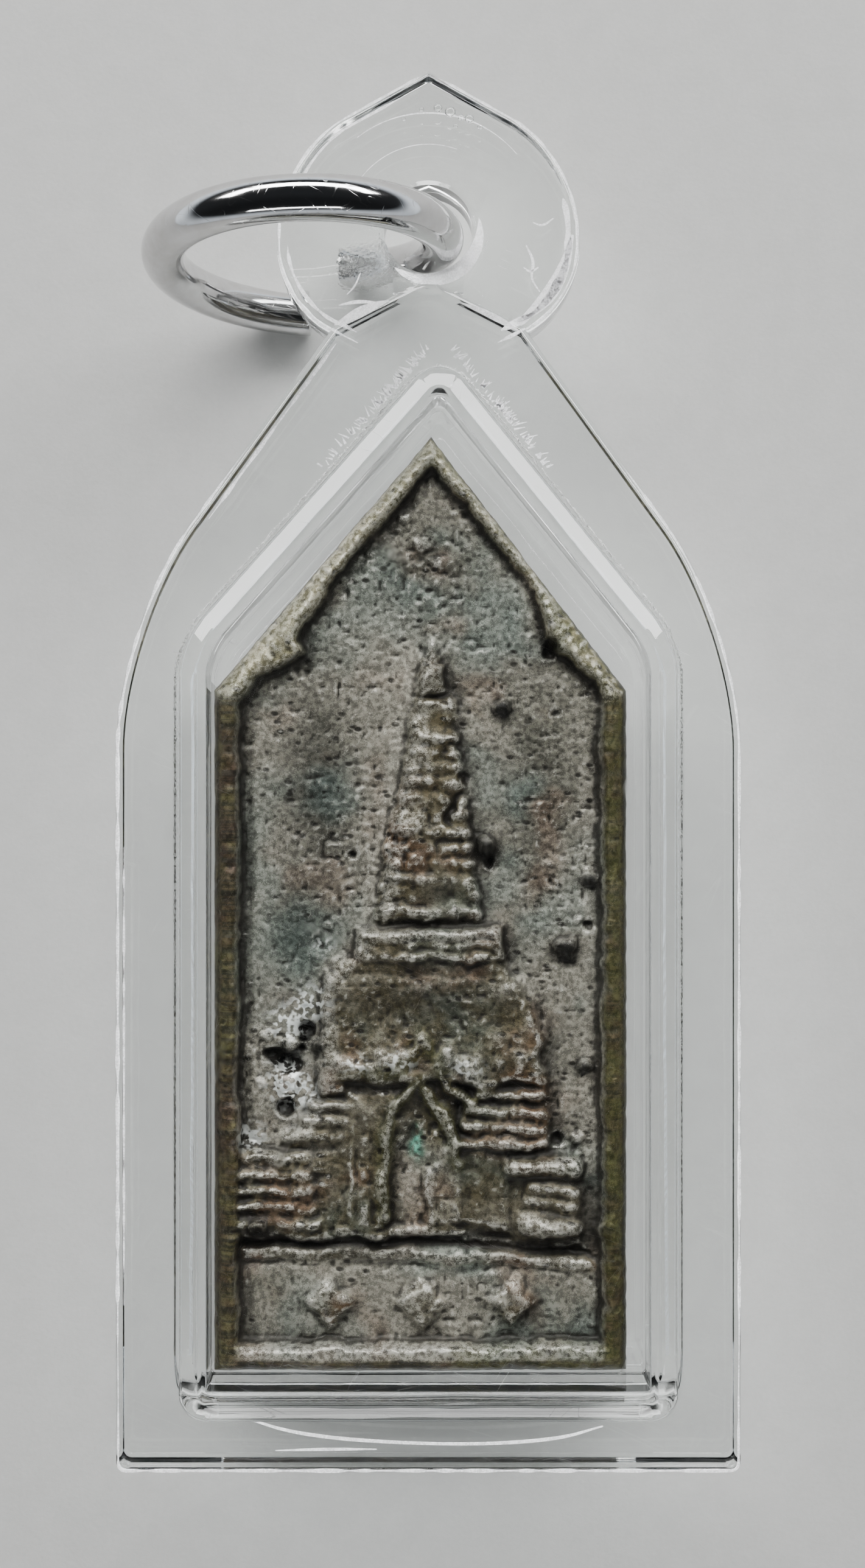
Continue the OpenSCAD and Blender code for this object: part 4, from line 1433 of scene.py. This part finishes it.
@dataclass
class SurfaceMarks:
    """Thin pale marks on the front shell, some of them painted highlights along its rounded edges, and small bubbles.
    Each stroke is a row of places with a width.
    """

    tab_z: float
    flange_z: float
    hole: Point
    gable: tuple[Point, Point, Point]
    tab: Outline
    flange: Outline
    edge_r: float
    shift_y: float
    thickness: float = 0.012
    lift: float = 0.004
    hair_count: int = 150
    foot_gap: float = 0.45
    tab_strokes: tuple[Stroke, ...] = (
        ((5.3, 19.7, 0.1), (5.05, 18.6, 0.42), (4.5, 17.5, 0.62), (3.7, 16.75, 0.3), (3.3, 16.5, 0.08)),
        ((3.6, 19.3, 0.05), (3.9, 18.7, 0.12), (3.75, 18.1, 0.08), (4.1, 17.6, 0.04)),
        ((3.5, 18.5, 0.03), (3.75, 18.3, 0.1), (4.05, 18.5, 0.05)),
        ((4.6, 20.3, 0.04), (4.2, 20.0, 0.1), (3.85, 20.15, 0.04)),
        ((-3.3, 17.1, 0.04), (-2.6, 17.25, 0.16), (-1.9, 17.2, 0.05)),
        ((-3.0, 17.5, 0.03), (-2.7, 17.8, 0.07), (-2.5, 18.3, 0.03)),
    )
    flange_strokes: tuple[Stroke, ...] = (
        ((-3.45, 16.3, 0.04), (-3.0, 16.5, 0.3), (-2.5, 16.78, 0.42), (-1.9, 17.05, 0.26), (-1.45, 17.2, 0.03)),
        ((1.25, 17.1, 0.03), (1.9, 16.85, 0.2), (2.6, 16.5, 0.26), (3.3, 16.1, 0.05)),
        ((-7.05, -23.65, 0.05), (-4.5, -24.45, 0.14), (0.7, -24.76, 0.1), (4.6, -24.58, 0.14), (6.4, -24.05, 0.05)),
        ((-5.6, -24.95, 0.03), (-3.8, -24.9, 0.13), (-1.9, -24.9, 0.04)),
    )
    # Painted highlights along the tab's and the flange's rounded edges: how far in each lies, its width, and the
    # directions in degrees between which it lies.
    tab_edges: tuple[Four, ...] = (
        (0.1, 0.15, 92.0, 240.0), (0.46, 0.1, 98.0, 168.0), (0.42, 0.14, 186.0, 236.0), (0.12, 0.12, -60.0, 88.0),
        (0.46, 0.34, -56.0, 14.0),
    )
    flange_edges: tuple[Four, ...] = (
        (0.1, 0.15, 112.0, 238.0), (0.5, 0.13, 114.0, 174.0), (0.34, 0.08, 172.0, 234.0), (0.1, 0.13, -58.0, 66.0),
        (0.12, 0.14, 236.0, 304.0),
    )
    hole_arcs: tuple[Four, ...] = ((1.9, -131.0, 12.0, 0.55), (4.25, 40.0, 128.0, 0.05), (3.1, 70.0, 150.0, 0.03))
    bubble_squash: float = 0.3
    edge_step: float = 0.15
    thinnest: float = 0.02
    bubbles: Stroke = (
        (0.35, 24.35, 0.16), (0.8, 24.2, 0.2), (1.2, 24.0, 0.12), (1.5, 23.95, 0.17), (1.0, 23.7, 0.08),
        (-0.25, 24.3, 0.09), (-0.9, 23.95, 0.07), (1.9, 23.65, 0.1),
    )

    def ribbon(self, bm: bmesh.types.BMesh, path: Iterable[Triple], level: float) -> None:
        """Lays one thin closed ribbon.

        Args:
            bm: the shell that it lies on.
            path: its places, with its width at each.
            level: the face's height.
        """
        places = np.array(list(path))
        count = len(places) - 1
        runs = np.gradient(places[:, :2], axis=0)
        runs /= np.linalg.norm(runs, axis=1)[:, None]
        verts = bmesh.ops.create_grid(bm, x_segments=count, y_segments=1, size=0.5)["verts"]
        for vert in verts:
            i = round((vert.co.x + 0.5) * count)
            side = math.copysign(places[i, 2] / 2, vert.co.y)
            vert.co = (places[i, 0] - runs[i, 1] * side, places[i, 1] + runs[i, 0] * side, level + self.lift)
        faces = list({face for vert in verts for face in vert.link_faces})
        risen = bmesh.ops.extrude_face_region(bm, geom=faces, use_keep_orig=True)["geom"]
        tops = [item for item in risen if isinstance(item, bmesh.types.BMVert)]
        bmesh.ops.translate(bm, verts=tops, vec=(0, 0, self.thickness))

    @staticmethod
    def smooth(stroke: Stroke) -> np.ndarray:
        """A stroke with its bends rounded, by cutting its corners three times.

        Args:
            stroke: its places, with its width at each.

        Returns:
            The rounded stroke.
        """
        places = np.array(stroke)
        for _ in range(3):
            near, far = places[:-1], places[1:]
            cut = np.stack((0.75 * near + 0.25 * far, 0.25 * near + 0.75 * far), axis=1).reshape(-1, 3)
            places = np.vstack((places[:1], cut, places[-1:]))
        return places

    def arc(self, radius: float, start: float, end: float, width: float, steps: int = 24) -> list[Triple]:
        """A stroke round the hole that thins out to both ends.

        Args:
            radius: how far it is from the hole's middle.
            start: where it starts, in degrees.
            end: where it ends.
            width: its width half way.
            steps: how many stretches it has.

        Returns:
            The stroke.
        """
        stroke = []
        for i in range(steps + 1):
            angle = math.radians(start + (end - start) * i / steps)
            wide = max(self.thinnest, width * math.sin(math.pi * i / steps) ** 0.7)
            stroke.append((self.hole[0] + radius * math.cos(angle), self.hole[1] + radius * math.sin(angle), wide))
        return stroke

    def edge_highlight(self, bm: bmesh.types.BMesh, outline: Outline, wear: Four, top: float) -> None:
        """Lays a pale line along a rounded edge, as a painted highlight.

        Args:
            bm: the shell that it lies on.
            outline: the worn face's outline, as the case measures it.
            wear: how far in it is, its width, and the directions in degrees between which it lies.
            top: the face's height.
        """
        inward, width, start, end = wear
        scratch = bmesh.new()
        corners = np.array([vert.co.xy for vert in outline.grown(-inward).add_face(scratch, 0.0).verts])
        scratch.free()
        closed = np.vstack([corners, corners[:1]])
        runs = np.concatenate([[0.0], np.cumsum(np.linalg.norm(np.diff(closed, axis=0), axis=1))])
        even = np.arange(0.0, runs[-1], self.edge_step)
        x, y = (np.interp(even, runs, closed[:, i]) for i in (0, 1))
        middle = corners[:, 1].mean() if outline is self.flange else self.hole[1] - self.shift_y
        turn = (np.degrees(np.arctan2(y - middle, x)) - start) % 360.0
        kept = np.argsort(turn)[: np.count_nonzero(turn < end - start)]
        uneven = 0.75 + 0.5 * value_noise(x[None], y[None], 0.5, 41)[0]
        taper = np.clip(np.minimum(turn, end - start - turn) / 6.0, 0.15, 1.0)
        drop = self.edge_r - math.sqrt(max(0.0, self.edge_r**2 - max(0.0, self.edge_r - inward) ** 2))
        path = zip(x[kept], y[kept] + self.shift_y, (width * uneven * taper)[kept])
        self.ribbon(bm, path, top - drop)

    def hairs(self, bm: bmesh.types.BMesh) -> None:
        """Lays the short pale hairs of spilt glue along the pocket's gable."""
        chance = np.random.default_rng(8)
        left, tip, right = (Vector(place) for place in self.gable)
        for end in (left, right):
            run = (end - tip).normalized()
            out = Vector((run.y, -run.x)) * (1 if end is left else -1)
            out *= 1 if out.y > 0 else -1
            for share in chance.uniform(0.0, 0.42, self.hair_count // 2):
                foot = tip + (end - tip) * share + out * (self.foot_gap + chance.uniform(-0.05, 0.1))
                tilt = run * chance.uniform(-0.6, 0.6)
                top = foot + (out + tilt) * chance.uniform(0.12, 0.45)
                self.ribbon(bm, ((*foot, chance.uniform(0.05, 0.11)), (*top, self.thinnest)), self.flange_z)

    def lay(self, bm: bmesh.types.BMesh) -> None:
        """Lays all the marks as the mesh's second material, and the bubbles as its first.

        Args:
            bm: the shell, in its place.
        """
        before = set(bm.faces)
        for strokes, level in ((self.tab_strokes, self.tab_z), (self.flange_strokes, self.flange_z)):
            for stroke in strokes:
                self.ribbon(bm, self.smooth(stroke), level)
        # The pale lines along the rounded edges are painted highlights.
        pale_and_lit = ((self.tab, self.tab_edges, self.tab_z), (self.flange, self.flange_edges, self.flange_z))
        for outline, edges, top in pale_and_lit:
            for wear in edges:
                self.edge_highlight(bm, outline, wear, top)
        for bend in self.hole_arcs:
            self.ribbon(bm, self.arc(*bend), self.tab_z)
        self.hairs(bm)
        for face in bm.faces:
            if face not in before:
                face.material_index = 1
        for x, y, radius in self.bubbles:
            flat = Matrix.Translation((x, y, self.tab_z + self.lift + self.bubble_squash * radius))
            flat = flat @ Matrix.Diagonal((1, 1, self.bubble_squash, 1))
            bmesh.ops.create_icosphere(bm, subdivisions=2, radius=radius, matrix=flat)


@dataclass
class Case:
    """The clear case: two moulded shells, glued round their flange and round the plaque."""

    plaque_w: float = 15.4
    plaque_h: float = 34.8
    gable_h: float = 9.5
    gable_shift: float = 0.4
    play_w: float = 0.8
    play_h: float = 0.1
    play_gable: float = 0.8
    wall: float = 0.9
    window: float = 1.2
    flange_w: float = 2.5
    flange_t: float = 1.3
    tab_t: float = 1.0
    back_depth: float = 2.9
    front_depth: float = 2.5
    glue_gap: float = 0.04
    shoulder_r: float = 2.4
    bottom_corner_r: float = 0.2
    tip_r: float = 0.4
    arch_slope: float = 54.0
    arch_rise: float = 6.0
    arch_shoulder_r: float = 14.0
    arch_top_slope: float = 27.0
    neck_w: float = 7.0
    flange_corner_r: float = 0.4
    tab_w: float = 11.2
    tab_tip: float = 5.9
    tab_tip_slope: float = 29.0
    tab_upper_r: float = 4.8
    tab_lower: float = 2.8
    tab_lower_slope: float = 27.0
    tab_lower_r: float = 3.5
    hole_d: float = 3.3
    hole_drop: float = 1.2
    hole_flare: float = 0.12
    drill_depth: float = 6.0
    drill_segments: int = 64
    web_w: float = 2.6
    web_l: float = 0.7
    web_root: float = 0.6
    web_foot: float = 0.1
    web_under: Point = (0.03, 0.05)
    pocket_draft: float = 0.12
    pocket_bevel: tuple[Step, ...] = (
        Step(0.03, 0.1), Step(0.05, 0.05), Step(0.08, 0.045), Step(0.26, 0.11), Step(0.26, 0.105), Step(0.1, 0.03),
        Step(0.1, 0.012),
    )
    pocket_foot_r: float = 0.45
    pocket_sink: float = 0.2
    foot_sink: float = 0.1
    cavity_sink: float = 1.0
    cavity_edge_r: float = 0.06
    flange_edge_r: float = 0.32
    merge_dist: float = 0.0005
    finish: dict[Half, ClearAcrylic] = field(
        default_factory=lambda: {
            Half.BACK: ClearAcrylic("acrylic_back", scratch_amount=0.25),
            Half.FRONT: ClearAcrylic("acrylic_front", scratch_amount=0.6, haze=0.03),
        }
    )

    def __post_init__(self) -> None:
        """Works out the outlines, measured from the plaque's bottom centre, and where they lie."""
        self.pocket = self._pocket()
        self.outer = self.pocket.grown(self.wall)
        corners = self.outer.corners
        half = corners[1].x + self.flange_w
        bottom = corners[1].y - self.flange_w
        arch_y = corners[3].y + self.arch_rise
        slope = math.tan(math.radians(self.arch_slope))
        neck_y = arch_y - self.neck_w / 2 * slope
        self.arch_top = neck_y + self.neck_w / 2 * math.tan(math.radians(self.arch_top_slope))
        side_y = arch_y - half * slope
        corner_r, shoulder_r = self.flange_corner_r, self.arch_shoulder_r
        self.flange = Outline(
            (
                Corner(-half, bottom, corner_r), Corner(half, bottom, corner_r),
                Corner(half, side_y, shoulder_r), Corner(self.neck_w / 2, neck_y),
                Corner(0, self.arch_top, 1.0), Corner(-self.neck_w / 2, neck_y),
                Corner(-half, side_y, shoulder_r),
            ),
            arc_segments=24,
        )
        self.hole_y = arch_y - self.hole_drop
        self.tab = self._tab()
        self.shift_y = -(self.hole_y + self.tab_tip + bottom) / 2
        self.mid_z = self.back_depth + self.flange_t

    def _pocket(self) -> Outline:
        """The pocket's inner outline, which follows the plaque."""
        half = (self.plaque_w + self.play_w) / 2
        tip = self.plaque_h + self.play_gable * math.hypot(1, 2 * self.gable_h / self.plaque_w)
        shoulder = tip - self.gable_h
        return Outline(
            (
                Corner(-half, -self.play_h, self.bottom_corner_r),
                Corner(half, -self.play_h, self.bottom_corner_r),
                Corner(half, shoulder, self.shoulder_r), Corner(self.gable_shift, tip, self.tip_r),
                Corner(-half, shoulder, self.shoulder_r),
            )
        )

    def _tab(self) -> Outline:
        """The leaf-shaped tab's outline, round its hole."""
        half = self.tab_w / 2
        low = -self.tab_lower
        high = self.tab_tip - half * math.tan(math.radians(self.tab_tip_slope))
        foot = low - half * math.tan(math.radians(self.tab_lower_slope))
        corners = (
            (0, foot, 0), (half, low, self.tab_lower_r), (half, high, self.tab_upper_r),
            (0, self.tab_tip, 0), (-half, high, self.tab_upper_r), (-half, low, self.tab_lower_r),
        )
        return Outline(tuple(Corner(x, y + self.hole_y, r) for x, y, r in corners), arc_segments=16)

    def shell(self, half: Half) -> bpy.types.Mesh:
        """Builds one shell with its mating face at height 0 and its window upwards.

        Args:
            half: which shell.

        Returns:
            The shell's mesh, in metres, still measured from the plaque's bottom centre.
        """
        depth = self.back_depth if half is Half.BACK else self.front_depth
        low = self.glue_gap / 2
        edge = rounded_edge(self.flange_edge_r, 5)
        flange = self.flange.plate("flange", low, (Step(0, self.flange_t - low - self.flange_edge_r), *edge))
        tab = self.tab.plate("tab", low, (Step(0, self.tab_t - low - self.flange_edge_r), *edge))
        wall_rise = depth + self.pocket_sink - sum(step.rise for step in self.pocket_bevel)
        wall = (Step(self.pocket_draft, wall_rise), *self.pocket_bevel)
        pocket = self.outer.plate("pocket", self.flange_t - self.pocket_sink, wall)
        foot = self.outer.grown(self.pocket_foot_r).plate(
            "foot", self.flange_t - self.foot_sink,
            (Step(0, self.foot_sink), *hollow_edge(self.pocket_foot_r), Step(0.05, 0)),
        )
        floor_z = self.flange_t + depth - self.window
        hollow = Step(self.pocket_draft, self.cavity_sink + floor_z - self.cavity_edge_r)
        cavity = self.pocket.plate("cavity", -self.cavity_sink, (hollow, *rounded_edge(self.cavity_edge_r)))
        tongue = ((tab, "UNION"), (self._web(), "UNION"), (self._hole(), "DIFFERENCE"))
        return combined(flange, (*tongue, (foot, "UNION"), (pocket, "UNION"), (cavity, "DIFFERENCE")))

    def _hole(self) -> bpy.types.Object:
        """The drill that cuts the tab's hole, flared a little where it leaves the tab."""
        bm = bmesh.new()
        radius, flare = self.hole_d / 2, self.hole_flare
        bmesh.ops.create_cone(
            bm, cap_ends=True, segments=self.drill_segments, radius1=radius, radius2=radius, depth=self.drill_depth,
        )
        bmesh.ops.bisect_plane(
            bm, geom=[*bm.verts, *bm.edges, *bm.faces], plane_co=(0, 0, self.tab_t - flare), plane_no=(0, 0, 1),
        )
        top = [vert for vert in bm.verts if vert.co.z > self.tab_t]
        for vert in top:
            vert.co.z = self.tab_t + flare
            vert.co.xy *= 1 + 2 * flare / radius
        bmesh.ops.translate(bm, verts=bm.verts, vec=(0, self.hole_y, 0))
        return new_object(bm, "drill")

    def _web(self) -> bpy.types.Object:
        """The ramp at the tab's root, from the flange's face down to the tab's."""
        start = self.arch_top - self.web_root
        end = start + self.web_l + self.web_root
        high, low = self.flange_t - self.web_under[0], self.tab_t - self.web_under[1]
        profile = ((start, self.web_foot), (start, high), (end, low), (end, self.web_foot))
        bm = bmesh.new()
        face = bm.faces.new([bm.verts.new((-self.web_w / 2, y, z)) for y, z in profile])
        swept = bmesh.ops.extrude_face_region(bm, geom=[face], use_keep_orig=True)["geom"]
        bmesh.ops.translate(bm, verts=[v for v in swept if isinstance(v, bmesh.types.BMVert)], vec=(self.web_w, 0, 0))
        bmesh.ops.recalc_face_normals(bm, faces=bm.faces)
        return new_object(bm, "web")

    def build(self, half: Half) -> bpy.types.Object:
        """Builds one shell in its place.

        Args:
            half: which shell.

        Returns:
            The shell.
        """
        name = f"case_{half.name.lower()}_clear"
        bm = bmesh.new()
        mesh = self.shell(half)
        bm.from_mesh(mesh)
        bpy.data.meshes.remove(mesh)
        bmesh.ops.scale(bm, vec=(1 / MM, 1 / MM, half.value / MM), verts=bm.verts)
        bmesh.ops.remove_doubles(bm, verts=bm.verts, dist=self.merge_dist)
        bmesh.ops.dissolve_degenerate(bm, dist=self.merge_dist, edges=bm.edges)
        bmesh.ops.translate(bm, verts=bm.verts, vec=(0, self.shift_y, self.mid_z))
        if half is Half.FRONT:
            corners = [(self.outer.corners[i].x, self.outer.corners[i].y + self.shift_y) for i in (4, 3, 2)]
            hole = (0.0, self.hole_y + self.shift_y)
            tops = (self.mid_z + self.tab_t, self.mid_z + self.flange_t)
            marks = SurfaceMarks(*tops, hole, tuple(corners), self.tab, self.flange, self.flange_edge_r, self.shift_y)
            marks.lay(bm)
        bmesh.ops.recalc_face_normals(bm, faces=bm.faces)
        made = new_object(bm, name)
        self.roughen(made)
        even = made.modifiers.new("even_normals", "WEIGHTED_NORMAL")
        even.keep_sharp = True
        even.weight = 100
        return made

    def roughen(self, made: bpy.types.Object) -> None:
        """Marks the rough places: the hole's lower edge, the wall's foot round the gable and the gable's tip.

        Args:
            made: the shell, in its place.
        """
        places = np.array([vert.co[:] for vert in made.data.vertices]) / MM
        x, y = places[:, 0], places[:, 1] - self.shift_y
        hole = smooth_step(1.0 - abs(np.hypot(x, y - self.hole_y) - self.hole_d / 2 - 0.1) / 0.3)
        frost = hole * smooth_step((self.hole_y + 0.4 - y) / 0.8)
        height = abs(places[:, 2] - self.mid_z) - self.flange_t
        foot = smooth_step(1.0 - height / 0.5) * (height > -0.05) * (y > 0.6 * self.plaque_h)
        corners = tuple((c.x, c.y) for c in self.outer.corners)
        near = abs(distance_to(x[None], y[None], corners, True))[0]
        frost = np.maximum(frost, foot * smooth_step(1.3 - near / 0.5))
        tip = self.outer.corners[3]
        tip_frost = 0.85 * smooth_step(1.2 - np.hypot(x - tip.x, y - tip.y) / 0.9)
        frost = np.maximum(frost, tip_frost * (height > -0.05))
        layer = made.data.attributes.new("frost", "FLOAT", "POINT")
        layer.data.foreach_set("value", np.clip(frost, 0.0, 1.0))

    def dress(self, half: Half, shared: SharedEffects) -> bpy.types.Object:
        """Builds one shell and gives it its finish.

        Args:
            half: which shell.
            shared: the node groups that the finishes share.

        Returns:
            The finished shell.
        """
        made = self.build(half)
        made.data.materials.append(self.finish[half].material(shared))
        if half is Half.FRONT:
            made.data.materials.append(PaleScuffAndHighlight("pale_scuff_and_highlight").material(shared))
        return placed(made, f"case_{half.name.lower()}")


@dataclass
class Studio:
    """The card, the lamps and the camera."""

    camera_xy: Point = (0.15, -0.52)
    camera_z: float = 75.0
    focal_px: float = 3115.0
    photo_long_side: int = 2576
    card_side: float = 600.0
    sensor_mm: float = 36.0
    lamps: tuple[tuple[str, Triple, Point, float], ...] = (
        ("window", (0, 480, 380), (590, 180), 6.8),
        ("window_left", (-365, 335, 350), (260, 120), 2.2),
        ("window_right", (365, 335, 350), (260, 120), 2.2),
        ("near_strip", (0, -520, 255), (500, 60), 0.9),
    )
    room_colour: Colour = (0.86, 0.93, 1.0, 1.0)

    def card(self, shared: SharedEffects) -> bpy.types.Object:
        """Lays the card.

        Args:
            shared: the node groups that the finishes share.

        Returns:
            The card.
        """
        bm = bmesh.new()
        bmesh.ops.create_grid(bm, x_segments=4, y_segments=4, size=self.card_side / 2)
        made = new_object(bm, "card", None)
        made.data.materials.append(PaleCard("pale_card").material(shared))
        return made

    def camera(self) -> bpy.types.Object:
        """Hangs the camera over the pendant, looking straight down, as the photograph was taken."""
        data = bpy.data.cameras.new("camera")
        data.sensor_width = self.sensor_mm
        data.lens = data.sensor_width * self.focal_px / self.photo_long_side
        data.clip_start = 0.001
        made = bpy.data.objects.new("camera", data)
        made.location = (self.camera_xy[0] * MM, self.camera_xy[1] * MM, self.camera_z * MM)
        bpy.context.scene.collection.objects.link(made)
        bpy.context.scene.camera = made
        return made

    def lamp(self, name: str, place: Triple, size: Point, watts: float) -> bpy.types.Object:
        """Sets up one soft lamp that points at the pendant.

        Args:
            name: the lamp's name.
            place: where it stands.
            size: its width and height.
            watts: its power.

        Returns:
            The lamp.
        """
        data = bpy.data.lights.new(name, "AREA")
        data.shape = "RECTANGLE"
        data.size, data.size_y = size[0] * MM, size[1] * MM
        data.energy = watts
        made = bpy.data.objects.new(name, data)
        made.location = Vector(place) * MM
        made.rotation_euler = (-made.location).to_track_quat("-Z", "Y").to_euler()
        bpy.context.scene.collection.objects.link(made)
        return made

    def light(self) -> None:
        """Lights the pendant softly from the far side, with weak fills."""
        for lamp in self.lamps:
            self.lamp(*lamp)
        world = bpy.data.worlds.new("room")
        world.use_nodes = True
        back = world.node_tree.nodes["Background"]
        back.inputs["Color"].default_value = self.room_colour
        nodes = NodeTree(world.node_tree)
        way = nodes.add("ShaderNodeTexCoord").outputs["Generated"]
        axes = nodes.add("ShaderNodeSeparateXYZ", Vector=way)
        low = nodes.ramp(axes.outputs["Z"], 0.06, 0.3, 1.5, 0.03)
        near = nodes.ramp(axes.outputs["Y"], -0.5, 0.1, 0.6, 1.0)
        nodes.set(back, "Strength", nodes.maths("MULTIPLY", low, near))
        bpy.context.scene.world = world


def main() -> None:
    """Builds the studio and the pendant's pieces in order."""
    logging.basicConfig(level=logging.INFO, format="%(name)s: %(message)s")
    shared = SharedEffects()
    studio = Studio()
    studio.camera()
    studio.card(shared)
    studio.light()
    case = Case()
    pieces = [case.dress(half, shared) for half in Half]
    pieces += [Plaque().dress(shared), SplitRing().dress(shared)]
    for piece in pieces:
        LOG.info("%s: %d faces", piece.name, len(piece.data.polygons))


if __name__ == "__main__":
    main()
